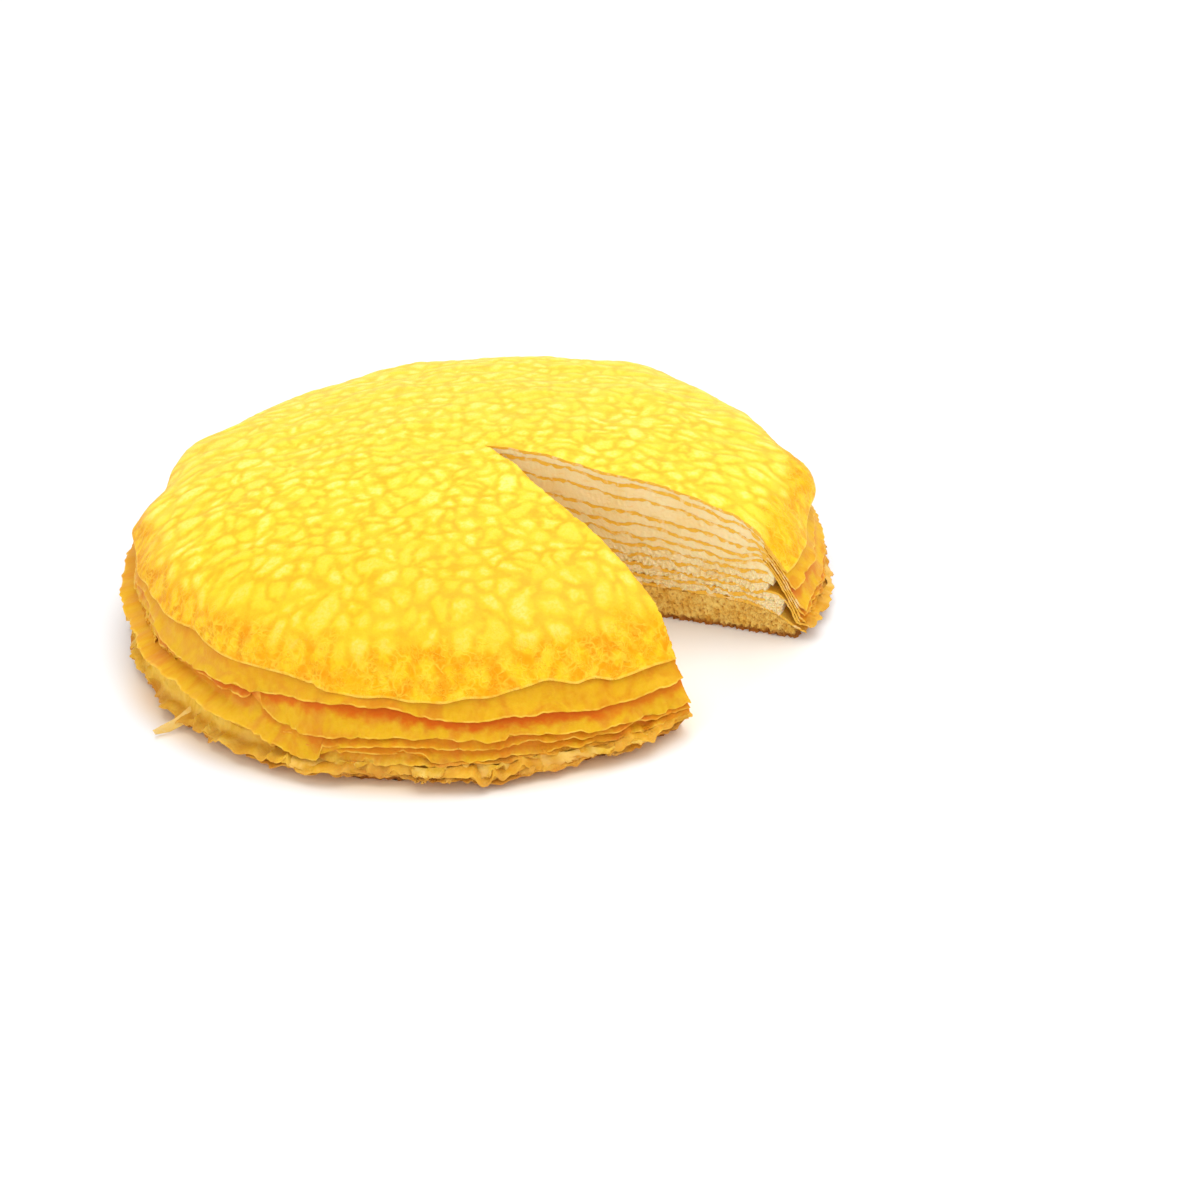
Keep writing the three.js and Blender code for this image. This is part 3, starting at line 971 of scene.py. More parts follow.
def foot_shreds():
    """Middle surfaces of the shreds that hang from under the sixth crepe all along the foot, but not in the
    wedge's mouth, and of the crumpled ones on the left."""
    dice = np.random.default_rng(61)
    mouth = (FAR_CUT + NEAR_CUT - 360) / 2
    angle = -114 + np.sort(dice.uniform(0, 1, 84)) * 242
    angle = angle[np.abs((angle - mouth + 180) % 360 - 180) > 20]
    count = len(angle)
    height = follow_around(SKIRT_EDGES[5], angle) + 0.7
    width = dice.uniform(6, 18, count)
    drop = height - dice.uniform(0.6, 2.8, count)
    curl = dice.uniform(0.0, 0.45, count)
    foot = shred_grid(angle, height, width, drop, curl, 62)
    few = 20
    angle = dice.uniform(-170, -140, few)
    height = 17.2 + dice.uniform(-1, 1.2, few)
    width = dice.uniform(5, 11, few)
    drop = dice.uniform(1.5, 2.6, few)
    curl = dice.uniform(0.1, 0.4, few)
    crumpled = shred_grid(angle, height, width, drop, curl, 63, 19.0)
    return foot, crumpled


def loose_strip():
    """Middle surface of a pale strip that sticks out at the front left: it runs straight out from under
    the skirts and down to the table, and twists by 100 degrees along its length."""
    start = np.array([-69.0, -65.5, 5.2])
    end = np.array([-82.0, -71.0, 1.6])
    u = np.linspace(0, 1, 21)[:, None]
    v = np.linspace(-1, 1, 7)[None, :]
    length = np.linalg.norm(end - start)
    forward = (end - start) / length
    side = np.cross(forward, (0, 0, 1))
    side /= np.linalg.norm(side)
    up = np.cross(side, forward)
    turn = np.radians(15 + 100 * u)
    half = (1.9 - 0.7 * u) * (1 + 0.15 * np.sin(9 * u))
    sag = -1.2 * np.sin(np.pi * u) * u
    across = side * (np.cos(turn) * half * v)[..., None] + up * (np.sin(turn) * half * v)[..., None]
    middle = start + forward * (length * u * np.ones_like(v))[..., None] + across
    middle[..., 2] = np.maximum(middle[..., 2] + sag, 0.4)
    return middle[None]


# ---------------------------------------------------------------------------------------------
# Shader tools
# ---------------------------------------------------------------------------------------------


class Nodes:
    """Short ways to add nodes to a shader tree. A value is a number, a vector, a socket of another node,
    or the name of one of the cake's colours."""

    def __init__(self, tree):
        self.tree = tree

    def feed(self, socket, value):
        """Links a socket to a socket, or sets it to a value."""
        if isinstance(value, bpy.types.NodeSocket):
            self.tree.links.new(value, socket)
        elif isinstance(value, str):
            socket.default_value = (*getattr(bpy.context.scene.cake_colours, value), 1.0)
        else:
            socket.default_value = value

    def add(self, kind, inputs=(), **settings):
        """Outputs of a new node with these settings and inputs."""
        made = self.tree.nodes.new(kind)
        for name, value in settings.items():
            setattr(made, name, value)
        for key, value in dict(inputs).items():
            self.feed(made.inputs[key], value)
        return made.outputs

    def calculate(self, operation, first, second=0.0, third=0.0):
        """Result of a math node."""
        return self.add("ShaderNodeMath", {0: first, 1: second, 2: third}, operation=operation)[0]

    def plus(self, first, second):
        """Sum of two values."""
        return self.calculate("ADD", first, second)

    def minus(self, first, second):
        """First value less the second."""
        return self.calculate("SUBTRACT", first, second)

    def times(self, first, second):
        """Product of two values."""
        return self.calculate("MULTIPLY", first, second)

    def times_plus(self, first, second, third):
        """First value times the second, plus the third."""
        return self.calculate("MULTIPLY_ADD", first, second, third)

    def move(self, vector, shift):
        """Vector moved by a shift."""
        return self.add("ShaderNodeVectorMath", {0: vector, 1: shift}, operation="ADD")[0]

    def ramp(self, value, low, high, start=0.0, end=1.0):
        """Eased step of a value from start at low to end at high."""
        inputs = {"Value": value, "From Min": low, "From Max": high, "To Min": start, "To Max": end}
        return self.add("ShaderNodeMapRange", inputs, interpolation_type="SMOOTHSTEP")["Result"]

    def blend(self, factor, first, second):
        """Colour that goes from the first to the second by a factor."""
        return self.add("ShaderNodeMix", {0: factor, 6: first, 7: second}, data_type="RGBA")[2]

    def place(self):
        """Place on the cake, in metres."""
        return self.add("ShaderNodeTexCoord")["Object"]

    def split(self, vector):
        """The three parts of a vector, by the names X, Y and Z."""
        return self.add("ShaderNodeSeparateXYZ", {0: vector})

    def attribute(self, name, output="Fac"):
        """Value that the mesh keeps under a name."""
        return self.add("ShaderNodeAttribute", attribute_name=name)[output]

    def noise(self, vector, scale, detail=2.0, distortion=0.0, output="Fac"):
        """Soft noise, with waves about one over the scale long."""
        inputs = {"Vector": vector, "Scale": scale, "Detail": detail, "Distortion": distortion}
        return self.add("ShaderNodeTexNoise", inputs)[output]

    def cells(self, vector, scale, feature="F1"):
        """Outputs of scattered cells, about one over the scale wide."""
        return self.add("ShaderNodeTexVoronoi", {"Vector": vector, "Scale": scale}, feature=feature)

    def group(self, name, **inputs):
        """Outputs of one of the cake's own groups, which is built on its first use."""
        if name not in bpy.data.node_groups:
            GROUPS[name]()
        return self.add("ShaderNodeGroup", inputs, node_tree=bpy.data.node_groups[name])

    def blotches(self, vector, scale, low, high):
        """Mask of soft patches."""
        return self.group("soft_blotches", Vector=vector, Scale=scale, Low=low, High=high)["Mask"]


def new_group(name, values, results):
    """Empty shader group: its inputs are a vector and named values with their defaults, and its outputs are
    named values."""
    tree = bpy.data.node_groups.new(name, "ShaderNodeTree")
    tree.interface.new_socket("Vector", in_out="INPUT", socket_type="NodeSocketVector")
    for label, default in values.items():
        socket = tree.interface.new_socket(label, in_out="INPUT", socket_type="NodeSocketFloat")
        socket.default_value = default
    for label in results:
        tree.interface.new_socket(label, in_out="OUTPUT", socket_type="NodeSocketFloat")
    nodes = Nodes(tree)
    return nodes, nodes.add("NodeGroupInput"), tree.nodes.new("NodeGroupOutput").inputs


def blotch_group():
    """Soft patches: noise, eased to a mask."""
    nodes, given, result = new_group("soft_blotches", {"Scale": 0.1, "Low": 0.4, "High": 0.6}, ["Mask"])
    value = nodes.noise(given["Vector"], given["Scale"], 3.0, 0.6)
    nodes.feed(result["Mask"], nodes.ramp(value, given["Low"], given["High"]))


def vein_group():
    """Thin wandering lines: the places where a noise is close to its middle value."""
    nodes, given, result = new_group("fine_veins", {"Scale": 0.3, "Width": 0.03}, ["Mask"])
    value = nodes.noise(given["Vector"], given["Scale"], 2.5, 1.2)
    away = nodes.calculate("ABSOLUTE", nodes.minus(value, 0.5))
    nodes.feed(result["Mask"], nodes.ramp(away, 0.0, given["Width"], 1.0, 0.0))


def spot_group():
    """Round spots: the middles of some random cells, chosen by the cell's own random value."""
    nodes, given, result = new_group("round_spots", {"Scale": 0.4, "Radius": 0.3, "Chosen": 0.3}, ["Mask"])
    shaken = nodes.noise(given["Vector"], 0.8, output="Color")
    cells = nodes.cells(nodes.move(given["Vector"], shaken), given["Scale"])
    picked = nodes.add("ShaderNodeSeparateColor", {0: cells["Color"]})[0]
    chosen = nodes.calculate("LESS_THAN", picked, given["Chosen"])
    spot = nodes.ramp(cells["Distance"], 0.0, given["Radius"], 1.0, 0.0)
    nodes.feed(result["Mask"], nodes.times(spot, chosen))


def pitted_group():
    """Wrinkled skin: pale ridges that wander round irregular pits. Masks of the ridges and of the pits."""
    nodes, given, result = new_group("pitted_skin", {"Scale": 0.3}, ["Ridges", "Pits"])
    vector, scale = given["Vector"], given["Scale"]
    shaken = nodes.noise(vector, nodes.times(scale, 1.1), 1.0, output="Color")
    push = {0: shaken, "Scale": nodes.calculate("DIVIDE", 1.9, scale)}
    moved = nodes.move(vector, nodes.add("ShaderNodeVectorMath", push, operation="SCALE")[0])
    edge = nodes.cells(moved, scale, "DISTANCE_TO_EDGE")["Distance"]
    here = nodes.ramp(nodes.noise(vector, nodes.times(scale, 0.5), 2.0), 0.35, 0.6)
    nodes.feed(result["Ridges"], nodes.times(nodes.ramp(edge, 0.0, 0.2, 1.0, 0.0), here))
    nodes.feed(result["Pits"], nodes.ramp(edge, 0.15, 0.4))


def pore_group():
    """Small pits of two sizes: a mask of the pits and a height that falls into them."""
    nodes, given, result = new_group("small_pores", {"Scale": 800.0}, ["Pits", "Height"])
    vector, scale = given["Vector"], given["Scale"]
    wide = nodes.cells(vector, scale)[0]
    small = nodes.cells(vector, nodes.times(scale, 2.3))[0]
    height = nodes.calculate("MINIMUM", wide, nodes.plus(small, 0.15))
    nodes.feed(result["Height"], height)
    nodes.feed(result["Pits"], nodes.ramp(height, 0.1, 0.35, 1.0, 0.0))


def foot_group():
    """Mask of the shade painted on the cake's foot: full near the table and gone a few millimetres up, with
    a shaken upper edge."""
    nodes, given, result = new_group("foot_shade", {"Height": 0.005}, ["Mask"])
    height = nodes.split(given["Vector"])["Z"]
    shaken = nodes.times_plus(nodes.noise(given["Vector"], 220.0, 3.0), 0.005, height)
    top = nodes.plus(given["Height"], 0.001)
    nodes.feed(result["Mask"], nodes.ramp(shaken, 0.003, top, 1.0, 0.0))


GROUPS = {
    "soft_blotches": blotch_group,
    "fine_veins": vein_group,
    "round_spots": spot_group,
    "pitted_skin": pitted_group,
    "small_pores": pore_group,
    "foot_shade": foot_group,
}


# ---------------------------------------------------------------------------------------------
# Materials
# ---------------------------------------------------------------------------------------------


class Finish(Nodes):
    """Material with one Principled shader whose even values are set on its own sockets. The reach of light
    under the surface is in millimetres, and less than a crepe's thickness, so thin edges stay bright."""

    def __init__(self, name, roughness, subsurface, reach, specular):
        self.material = bpy.data.materials.new(name)
        self.material.use_nodes = True
        super().__init__(self.material.node_tree)
        self.shader = self.tree.nodes["Principled BSDF"].inputs
        self.shader["Roughness"].default_value = roughness
        self.shader["Subsurface Weight"].default_value = subsurface
        self.shader["Subsurface Radius"].default_value = reach
        self.shader["Subsurface Scale"].default_value = MILLIMETRE
        self.shader["Specular IOR Level"].default_value = specular

    def show(self, colour, height, distance, strength):
        """Gives the shader its colour and the bump of a height, and returns the material."""
        bump = self.add("ShaderNodeBump", {"Height": height, "Distance": distance, "Strength": strength})
        self.feed(self.shader["Base Color"], colour)
        self.feed(self.shader["Normal"], bump["Normal"])
        return self.material


def top_crepe_material():
    """Bright crepe: pale cells in a golden net, with a sheen painted paler and lower in contrast towards the
    back, and an orange side with pale ridges round deeper pits and painted shade on its left.
    """
    skin = Finish("top_crepe_skin", 0.5, 0.15, THIN_REACH, 0.22)
    sheet = skin.attribute("sheet", "Vector")
    apart = skin.split(skin.place())
    depth = apart["Y"]

    shake = skin.minus(skin.noise(sheet, 0.55, 3.5), 0.5)
    edge = skin.plus(skin.attribute("cell"), skin.times(shake, 2.2))
    # Painted sheen: towards the back the cells turn paler and the net fainter, standing in for the light
    # from behind.
    front = skin.ramp(depth, -0.1, 0.08, 1.0, 0.55)
    strength = skin.times(front, skin.times_plus(skin.blotches(sheet, 0.14, 0.32, 0.6), 0.55, 0.4))
    net = skin.times(skin.ramp(edge, -0.25, 1.15, 1.0, 0.0), strength)
    heart = skin.times(skin.ramp(edge, 0.6, 1.9), skin.plus(0.1, skin.attribute("tone")))
    heart = skin.times(heart, skin.ramp(skin.noise(sheet, 0.9, 2.5), 0.35, 0.62, 0.35, 1.0))
    fine = skin.noise(sheet, 2.2, 3.0)
    colour = skin.blend(front, "cell_pale", "cell")
    colour = skin.blend(heart, colour, "cell_heart")
    colour = skin.blend(net, colour, "net")
    colour = skin.blend(skin.ramp(depth, -0.088, -0.02, 0.42, 0.0), colour, "wall")
    colour = skin.blend(skin.ramp(fine, 0.45, 0.8, 0.0, 0.35), colour, "net")

    ridges = skin.group("pitted_skin", Vector=sheet, Scale=0.3)
    small = skin.group("pitted_skin", Vector=sheet, Scale=0.62)
    ridge = skin.calculate("MAXIMUM", ridges["Ridges"], skin.times(small["Ridges"], 0.6))
    spots = skin.group("round_spots", Vector=sheet, Scale=0.5, Radius=0.22, Chosen=0.3)["Mask"]
    wall = skin.blend(skin.blotches(sheet, 0.12, 0.35, 0.62), "wall", "wall_deep")
    # Painted shade: the left of the side is deepened towards the skirts' deeper colour.
    wall = skin.blend(skin.ramp(apart["X"], -0.085, -0.02, 0.45, 0.0), wall, "skirt_deep")
    wall = skin.blend(skin.times(skin.ramp(edge, 0.2, 1.6), 0.55), wall, "cell")
    wall = skin.blend(skin.times(ridges["Pits"], 0.5), wall, "wall_deep")
    wall = skin.blend(skin.times(ridge, 0.6), wall, "ridge")
    wall = skin.blend(skin.times(spots, 0.4), wall, "freckle")

    drift = skin.minus(skin.noise(sheet, 0.09, 3.0), 0.5)
    uneven = skin.times_plus(drift, 1.3, skin.times_plus(shake, 0.5, skin.attribute("side")))
    side = skin.ramp(uneven, 0.3, 1.0)
    broken = skin.ramp(skin.noise(sheet, 0.35, 2.0), 0.35, 0.6, 0.2, 0.85)
    rim = skin.times(broken, skin.ramp(skin.attribute("lip"), 0.05, 0.55, 1.0, 0.0))
    colour = skin.blend(rim, skin.blend(side, colour, wall), "lip")
    skin.feed(skin.shader["Roughness"], skin.ramp(fine, 0.3, 0.7, 0.4, 0.56))
    skin.feed(skin.shader["Specular IOR Level"], skin.ramp(side, 0.0, 1.0, 0.22, 0.1))
    wrinkles = skin.times(side, skin.plus(ridges["Ridges"], small["Ridges"]))
    height = skin.times_plus(wrinkles, 0.8, skin.times(fine, 0.5))
    return skin.show(colour, height, 0.00025, 0.7)


def skirt_material(name, deep, streaks):
    """Golden crepe: blotched and faintly streaked downward, with shade painted deeper orange where another
    crepe's free edge covers it, tan where it is thin, pale along its free edge, and with shade painted
    browner close to the table."""
    skin = Finish(name, 0.5, 0.25, THIN_REACH, 0.12)
    sheet = skin.attribute("sheet", "Vector")
    place = skin.place()
    patch = skin.blotches(sheet, 0.14, 0.4, 0.7)
    colour = skin.blend(skin.times(patch, deep), "skirt", "skirt_deep")
    small = skin.blotches(sheet, 0.5, 0.45, 0.8)
    colour = skin.blend(skin.times(small, 0.3), colour, "skirt_deep")
    colour = skin.blend(skin.attribute("tan"), colour, skin.blend(patch, "tan", "tan_pale"))
    drawn = skin.add("ShaderNodeMapping", {"Vector": place, "Scale": (900.0, 900.0, 110.0)})[0]
    streak = skin.ramp(skin.noise(drawn, 1.0, 2.0), 0.35, 0.7, 0.0, streaks)
    colour = skin.blend(streak, colour, "lip")
    ragged = skin.times(skin.minus(skin.noise(sheet, 0.3, 3.0), 0.5), 6.0)
    # Painted shade: deeper orange just under the free edge of the crepe that covers this one, as strong as
    # the mesh's value says.
    under = skin.ramp(skin.plus(skin.attribute("shelter"), ragged), 0.0, 3.4, 1.0, 0.0)
    colour = skin.blend(skin.times(under, skin.attribute("recess")), colour, "recess")
    broken = skin.ramp(skin.noise(sheet, 0.25, 2.0), 0.38, 0.65, 0.1, 0.7)
    rim = skin.times(broken, skin.ramp(skin.attribute("lip"), 0.05, 0.5, 1.0, 0.0))
    colour = skin.blend(rim, colour, "lip")
    # Painted shade: the crepe turns browner close to the table.
    low = skin.group("foot_shade", Vector=place, Height=FOOT_SHADE_HEIGHT)["Mask"]
    colour = skin.blend(skin.times(low, 0.8), colour, "foot")
    fine = skin.noise(sheet, 1.6, 3.0)
    skin.feed(skin.shader["Roughness"], skin.ramp(fine, 0.3, 0.7, 0.42, 0.6))
    return skin.show(colour, skin.times_plus(streak, 1.2, fine), 0.00015, 0.6)


def shred_material(name, pale, deep, foot):
    """Torn shreds: pale and translucent, with deeper specks and thin veins, and with shade painted browner
    close to the table."""
    shred = Finish(name, 0.5, 0.2, (0.15, 0.1, 0.06), 0.15)
    place = shred.place()
    colour = shred.blend(shred.blotches(place, 260.0, 0.3, 0.7), deep, pale)
    vein = shred.group("fine_veins", Vector=place, Scale=350.0, Width=0.04)["Mask"]
    colour = shred.blend(shred.times(vein, 0.4), colour, "lip")
    # Painted shade: browner close to the table, as strong as foot says.
    low = shred.group("foot_shade", Vector=place, Height=FOOT_SHADE_HEIGHT)["Mask"]
    colour = shred.blend(shred.times(low, foot), colour, "foot")
    return shred.show(colour, shred.noise(place, 900.0, 3.0), 0.0002, 0.6)


def crepe_cut_material():
    """Cut edge of a crepe: golden brown, smeared with cream here and there."""
    cut = Finish("crepe_cut", 0.55, 0.2, THIN_REACH, 0.3)
    place = cut.place()
    smear = cut.blotches(place, 420.0, 0.5, 0.68)
    colour = cut.blend(cut.times(smear, 0.6), "cut_line", "cream")
    fine = cut.noise(place, 2600.0, 2.0)
    colour = cut.blend(cut.ramp(fine, 0.5, 0.75, 0.0, 0.25), colour, "skirt_deep")
    return cut.show(colour, fine, 0.0001, 0.7)


def cream_material(name, crumbly):
    """Cream: matt ivory with fine pores painted darker as shade, and smeared and lumpier where crumbs are
    mixed in.
    """
    cream = Finish(name, 0.62, 0.4, (1.0, 0.6, 0.3), 0.3)
    place = cream.place()
    pores = cream.group("small_pores", Vector=place, Scale=1500.0)
    warm = cream.blotches(place, 90.0, 0.35, 0.7)
    colour = cream.blend(cream.times(warm, 0.6), "cream", "cream_warm")
    # Painted shade: the pores darkened towards the warmer cream.
    colour = cream.blend(cream.times(pores["Pits"], 0.35), colour, "cream_warm")
    flattened = cream.add("ShaderNodeMapping", {"Vector": place, "Scale": (1.0, 1.0, 5.0)})[0]
    drag = cream.blotches(flattened, 260.0, 0.55, 0.72)
    colour = cream.blend(cream.times(drag, 0.3 + 0.3 * crumbly), colour, "cut_line")
    height = cream.plus(pores["Height"], cream.noise(place, 900.0, 3.0))
    return cream.show(colour, height, 0.00018, 0.5 + 0.4 * crumbly)


def sponge_material():
    """Sponge: open golden crumb with shade painted dark in its pores, and a browned underside."""
    crumb = Finish("sponge_crumb", 0.85, 0.0, (0.4, 0.3, 0.2), 0.2)
    place = crumb.place()
    pores = crumb.group("small_pores", Vector=place, Scale=620.0)
    colour = crumb.blend(crumb.blotches(place, 160.0, 0.3, 0.7), "crumb", "crumb_light")
    # Painted shade: the pores darkened towards the crust's brown.
    colour = crumb.blend(crumb.times(pores["Pits"], 0.6), colour, "crust")
    shaken = crumb.plus(crumb.split(place)["Z"], crumb.times(crumb.noise(place, 300.0, 3.0), 0.0012))
    colour = crumb.blend(crumb.ramp(shaken, 0.0012, 0.0026, 0.9, 0.0), colour, "crust")
    relief = crumb.plus(pores["Height"], crumb.noise(place, 1400.0, 4.0))
    return crumb.show(colour, relief, 0.0005, 0.8)


def floor_material():
    """Plain pale floor, with a warm contact shadow painted close to the front of the cake."""
    floor = Finish("studio_floor", 0.4, 0.0, (1.0, 1.0, 1.0), 0.5)
    place = floor.place()
    apart = floor.split(place)
    away = floor.add("ShaderNodeVectorMath", {0: place}, operation="LENGTH")["Value"]
    # Painted shadow and bounced light: a warm ring round the front left of the cake.
    ring = floor.times(floor.ramp(away, 0.099, 0.11, 1.0, 0.0), floor.ramp(away, 0.08, 0.098, 0.2, 1.0))
    to_front = floor.ramp(apart["Y"], -0.06, -0.02, 1.0, 0.1)
    to_left = floor.ramp(apart["X"], 0.04, 0.065, 1.0, 0.2)
    near = floor.times(floor.times(to_front, to_left), ring)
    floor.feed(floor.shader["Base Color"], floor.blend(near, "floor", "floor_warm"))
    return floor.material


# ---------------------------------------------------------------------------------------------
# Properties
# ---------------------------------------------------------------------------------------------


def from_screen(red, green, blue):
    """Colour as a screen shows it, 0 to 255, turned into the linear values that shaders use."""
    share = np.array([red, green, blue]) / 255
    linear = np.where(share <= 0.04045, share / 12.92, ((share + 0.055) / 1.055) ** 2.4)
    return tuple(float(part) for part in linear)


def colour_property(name, description, default):
    """Colour that the user may change, with its default as a screen shows it."""
    default = from_screen(*default)
    return FloatVectorProperty(
        name=name, description=description, default=default, subtype="COLOR", size=3, min=0, max=1
    )


def length_property(name, description, default):
    """Length that the user may change, with its default in metres."""
    return FloatProperty(name=name, description=description, default=default, min=0, unit="LENGTH")


class CakeSizes(bpy.types.PropertyGroup):
    """Sizes of the cake's finer forms."""

    crepe_thickness: length_property("Crepe thickness", "Thickness of one crepe", 0.0007)
    cell_width: length_property("Cell width", "Width of a blister cell on the top crepe", 0.005)
    mesh_spacing: length_property("Mesh spacing", "Distance between points on the top crepe", 0.0008)
    camera_distance: length_property("Camera distance", "Distance from the camera to the cake", 0.5)


class CakeColours(bpy.types.PropertyGroup):
    """Colours of the cake and its stage."""

    cell: colour_property("Cell", "Blister cells of the top crepe", (252, 213, 34))
    # Painted sheen: the paler cells towards the back of the top.
    cell_pale: colour_property("Cell, pale", "Blister cells where the crepe is baked least", (252, 221, 84))
    cell_heart: colour_property("Cell heart", "Palest middle of a cell", (253, 231, 120))
    net: colour_property("Net", "Golden net between the cells", (250, 170, 14))
    wall: colour_property("Wall", "Side of the top crepe", (240, 173, 2))
    wall_deep: colour_property("Wall, deep", "Deeper patches on the side of the top crepe", (234, 150, 0))
    ridge: colour_property("Ridge", "Pale ridges on the side of the top crepe", (252, 208, 60))
    freckle: colour_property("Freckle", "Round freckles on the side", (216, 120, 10))
    lip: colour_property("Lip", "Thin free edges and veins", (246, 202, 80))
    skirt: colour_property("Skirt", "Lower crepes", (220, 168, 14))
    skirt_deep: colour_property("Skirt, deep", "Deeper patches of the lower crepes", (208, 126, 2))
    # Painted shade under a covering free edge.
    recess: colour_property("Recess", "Sheltered places under a free edge", (212, 98, 0))
    shred: colour_property("Shred", "Torn shreds along the foot", (246, 204, 104))
    # Painted shade close to the table.
    foot: colour_property("Foot", "Crepe close to the table", (190, 110, 34))
    tan: colour_property("Tan", "Thin, translucent crepe", (226, 176, 42))
    tan_pale: colour_property("Tan, pale", "Lighter patches of thin crepe", (236, 198, 82))
    cut_line: colour_property("Cut line", "Cut edge of a crepe", (240, 186, 62))
    cream: colour_property("Cream", "Cream", (250, 228, 178))
    cream_warm: colour_property("Cream, warm", "Warmer patches of cream", (244, 212, 142))
    crumb: colour_property("Crumb", "Sponge crumb", (230, 178, 72))
    crumb_light: colour_property("Crumb, light", "Lighter sponge crumb", (246, 210, 116))
    # Browned underside, and the shade painted in the sponge's pores.
    crust: colour_property("Crust", "Browned underside and pores", (160, 88, 24))
    floor: colour_property("Floor", "Studio floor", (244, 244, 246))
    # Painted contact shadow and bounced light near the cake.
    floor_warm: colour_property("Floor, warm", "Studio floor close to the cake", (252, 227, 192))


# ---------------------------------------------------------------------------------------------
# Stage
# ---------------------------------------------------------------------------------------------


def build_floor():
    """A wide disc whose rim rises gently: height grows with the square of the distance past the rim's
    start."""
    turns = np.linspace(0, 2 * np.pi, FLOOR_SPOKES + 1)[:-1]
    turn, share = np.meshgrid(turns, np.linspace(0, 1, FLOOR_RINGS), indexing="ij")
    radius = FLOOR_RADIUS * share
    height = FLOOR_RISE * np.maximum(radius - RIM_START, 0) ** 2
    points = np.stack([radius * np.cos(turn), radius * np.sin(turn), height], -1).reshape(-1, 3)
    column, row = np.meshgrid(np.arange(FLOOR_SPOKES), np.arange(FLOOR_RINGS - 1), indexing="ij")
    first = (column * FLOOR_RINGS + row).ravel()
    other = ((column + 1) % FLOOR_SPOKES * FLOOR_RINGS + row).ravel()
    quads = np.column_stack([first, first + 1, other + 1, other])
    triangles = np.concatenate([quads[:, :3], quads[:, [0, 2, 3]]])
    floor = mesh_object("floor", points, triangles, [floor_material()])


def aim_lamp(light, place, aim):
    """Hangs a slightly cool light at a place, turned towards a point."""
    light.color = COOL_LIGHT
    lamp = bpy.data.objects.new(light.name, light)
    lamp.location = place
    lamp.rotation_euler = (Vector(aim) - Vector(place)).to_track_quat("-Z", "Y").to_euler()
    bpy.context.scene.collection.objects.link(lamp)


def build_lights(scene):
    """A warm even room, and slightly cool soft lights above, in front and at both sides."""
    world = bpy.data.worlds.new("studio")
    world.use_nodes = True
    backdrop = world.node_tree.nodes["Background"]
    backdrop.inputs["Color"].default_value = (1.0, 0.9, 0.76, 1.0)
    backdrop.inputs["Strength"].default_value = 0.54
    scene.world = world
    sky = bpy.data.lights.new("overhead", "SUN")
    sky.energy = 1.95
    sky.angle = np.radians(60)
    aim_lamp(sky, (0.2, 0.25, 1.0), (0.0, 0.0, 0.0))
    for name, place, size, power in SOFT_LIGHTS:
        light = bpy.data.lights.new(name, "AREA")
        light.shape = "SQUARE"
        light.size = size
        light.energy = power
        aim_lamp(light, place, (0.0, 0.0, 0.02))
    scene.view_settings.view_transform = "Standard"


def build_camera(scene):
    """Camera that looks down at the cake from the front, rolled a little to one side."""
    elevation = np.radians(CAMERA_ELEVATION)
    roll = np.radians(CAMERA_ROLL)
    right = np.array([1.0, 0.0, 0.0])
    up = np.array([0.0, np.sin(elevation), np.cos(elevation)])
    back = np.array([0.0, -np.cos(elevation), np.sin(elevation)])
    target = right * AIM_RIGHT - up * AIM_DOWN
    place = target + back * scene.cake_sizes.camera_distance
    image_right = np.cos(roll) * right - np.sin(roll) * up
    image_up = np.sin(roll) * right + np.cos(roll) * up
    data = bpy.data.cameras.new("camera")
    data.sensor_width = 36.0
    data.lens = CAMERA_LENS
    data.clip_start = 0.01
    data.clip_end = 50.0
    camera = bpy.data.objects.new("camera", data)
    axes = np.column_stack([image_right, image_up, back, place])
    camera.matrix_world = Matrix([*axes.tolist(), [0.0, 0.0, 0.0, 1.0]])
    scene.collection.objects.link(camera)
    scene.camera = camera


# ---------------------------------------------------------------------------------------------
# Operators
# ---------------------------------------------------------------------------------------------


class CAKE_OT_sponge(bpy.types.Operator):
    """Build the sponge base"""

    bl_idname = "cake.sponge"
    bl_label = "Sponge"

    def execute(self, context):
        crumb = sponge_material()
        build_sponge([crumb, crumb])
        return {"FINISHED"}


class CAKE_OT_creams(bpy.types.Operator):
    """Build the ten cream layers"""

    bl_idname = "cake.creams"
    bl_label = "Cream layers"

    def execute(self, context):
        even = cream_material("cream_even", 0.0)
        crumbly = cream_material("cream_crumbly", 1.0)
        for index in range(CREPE_COUNT - 1):
            cream = even if index < 6 else crumbly
            build_cream(index, [cream, cream])
        return {"FINISHED"}


class CAKE_OT_crepes(bpy.types.Operator):
    """Build the ten crepes under the top one"""

    bl_idname = "cake.crepes"
    bl_label = "Lower crepes"

    def execute(self, context):
        cut = crepe_cut_material()
        upper = skirt_material("crepe_skin_upper", 0.8, 0.08)
        middle = skirt_material("crepe_skin_middle", 1.0, 0.1)
        lower = skirt_material("crepe_skin_lower", 0.8, 0.4)
        for index in range(1, CREPE_COUNT):
            skin = upper if index == 1 else middle if index < 5 else lower
            build_crepe(index, [skin, cut])
        return {"FINISHED"}


class CAKE_OT_top_crepe(bpy.types.Operator):
    """Build the top crepe"""

    bl_idname = "cake.top_crepe"
    bl_label = "Top crepe"

    def execute(self, context):
        cut = bpy.data.materials.get("crepe_cut") or crepe_cut_material()
        build_crepe(0, [top_crepe_material(), cut])
        return {"FINISHED"}


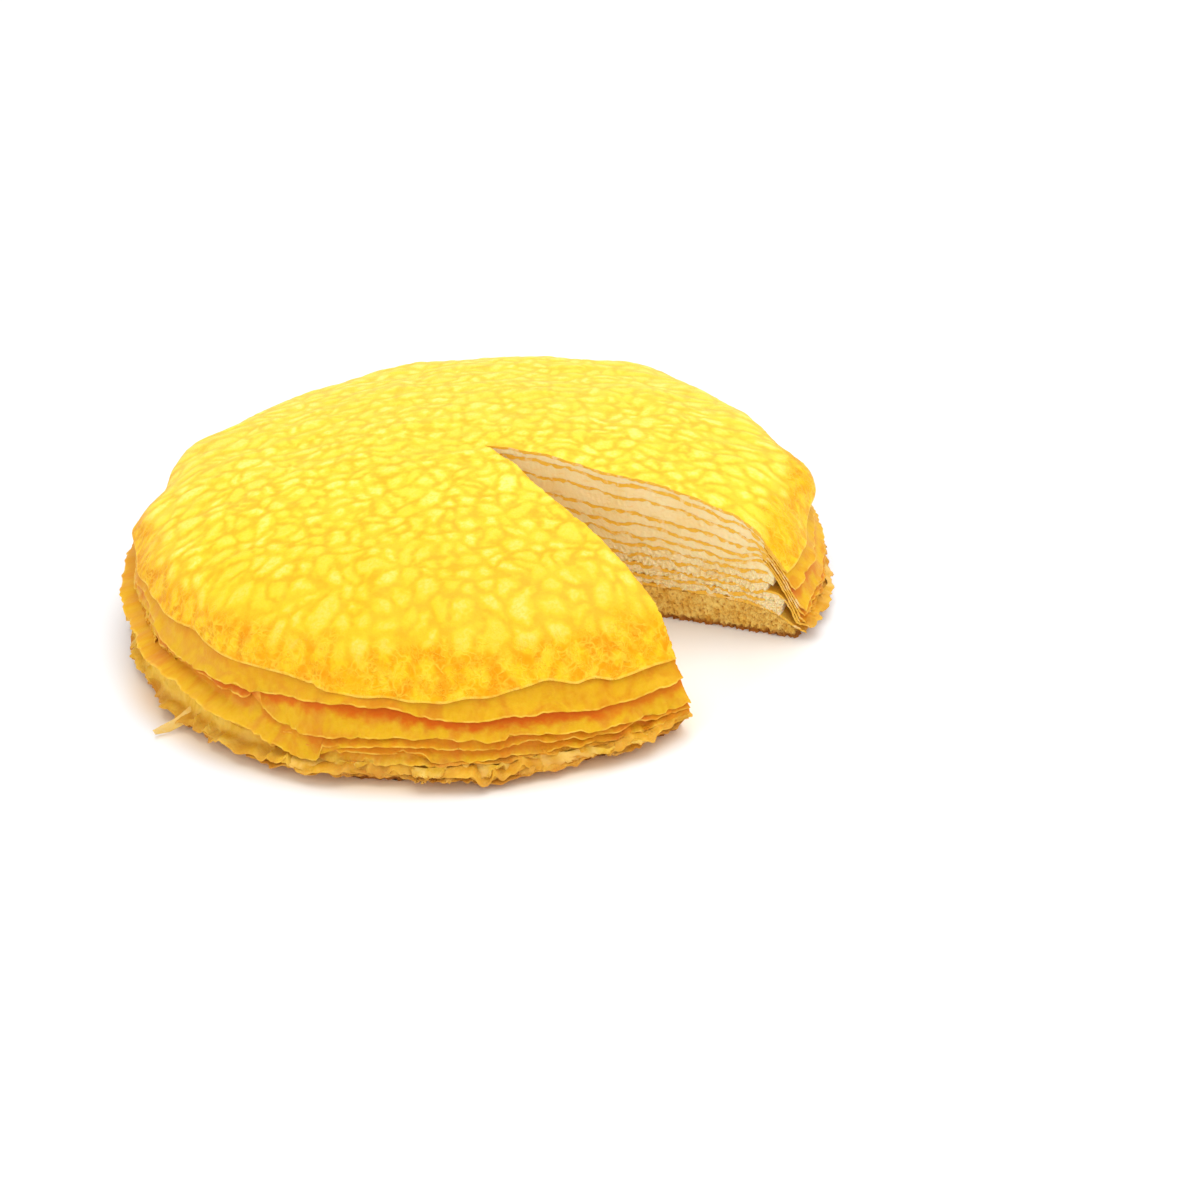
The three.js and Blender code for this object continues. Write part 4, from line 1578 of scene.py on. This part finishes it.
class CAKE_OT_shreds(bpy.types.Operator):
    """Build the torn shreds along the foot and at the left"""

    bl_idname = "cake.shreds"
    bl_label = "Shreds"

    def execute(self, context):
        foot, crumpled = foot_shreds()
        # The last value says how strongly shade is painted close to the table.
        pale = shred_material("shred_pale", "shred", "tan", 0.8)
        tan = shred_material("shred_tan", "tan", "skirt_deep", 0.8)
        palest = shred_material("shred_palest", "cream_warm", "shred", 0.0)
        build_shreds("foot_shreds", pale, foot, 0.2)
        build_shreds("crumpled_shreds", tan, crumpled, 0.25)
        build_shreds("loose_strip", palest, loose_strip(), 0.4)
        return {"FINISHED"}


class CAKE_OT_stage(bpy.types.Operator):
    """Build the floor, the lights and the camera"""

    bl_idname = "cake.stage"
    bl_label = "Stage"

    def execute(self, context):
        build_floor()
        build_lights(context.scene)
        build_camera(context.scene)
        return {"FINISHED"}


class CAKE_PT_panel(bpy.types.Panel):
    """Panel that lists the cake's sizes, colours and builders"""

    bl_label = "Crepe cake"
    bl_idname = "CAKE_PT_panel"
    bl_space_type = "VIEW_3D"
    bl_region_type = "UI"
    bl_category = "Crepe cake"

    def draw(self, context):
        for group in (context.scene.cake_sizes, context.scene.cake_colours):
            column = self.layout.column()
            for name in group.__annotations__:
                column.prop(group, name)
        for operator in OPERATORS:
            self.layout.operator(operator.bl_idname)


OPERATORS = (
    CAKE_OT_sponge,
    CAKE_OT_creams,
    CAKE_OT_crepes,
    CAKE_OT_top_crepe,
    CAKE_OT_shreds,
    CAKE_OT_stage,
)
CLASSES = (CakeSizes, CakeColours, *OPERATORS, CAKE_PT_panel)


def register():
    """Registers the classes and gives the scene its sizes and colours."""
    for item in CLASSES:
        bpy.utils.register_class(item)
    bpy.types.Scene.cake_sizes = PointerProperty(type=CakeSizes)
    bpy.types.Scene.cake_colours = PointerProperty(type=CakeColours)


def unregister():
    """Takes the scene's sizes and colours and the classes out again."""
    del bpy.types.Scene.cake_colours
    del bpy.types.Scene.cake_sizes
    for item in reversed(CLASSES):
        bpy.utils.unregister_class(item)


def main():
    """Builds the whole scene."""
    register()
    bpy.ops.cake.sponge()
    bpy.ops.cake.creams()
    bpy.ops.cake.crepes()
    bpy.ops.cake.top_crepe()
    bpy.ops.cake.shreds()
    bpy.ops.cake.stage()


if __name__ == "__main__":
    main()
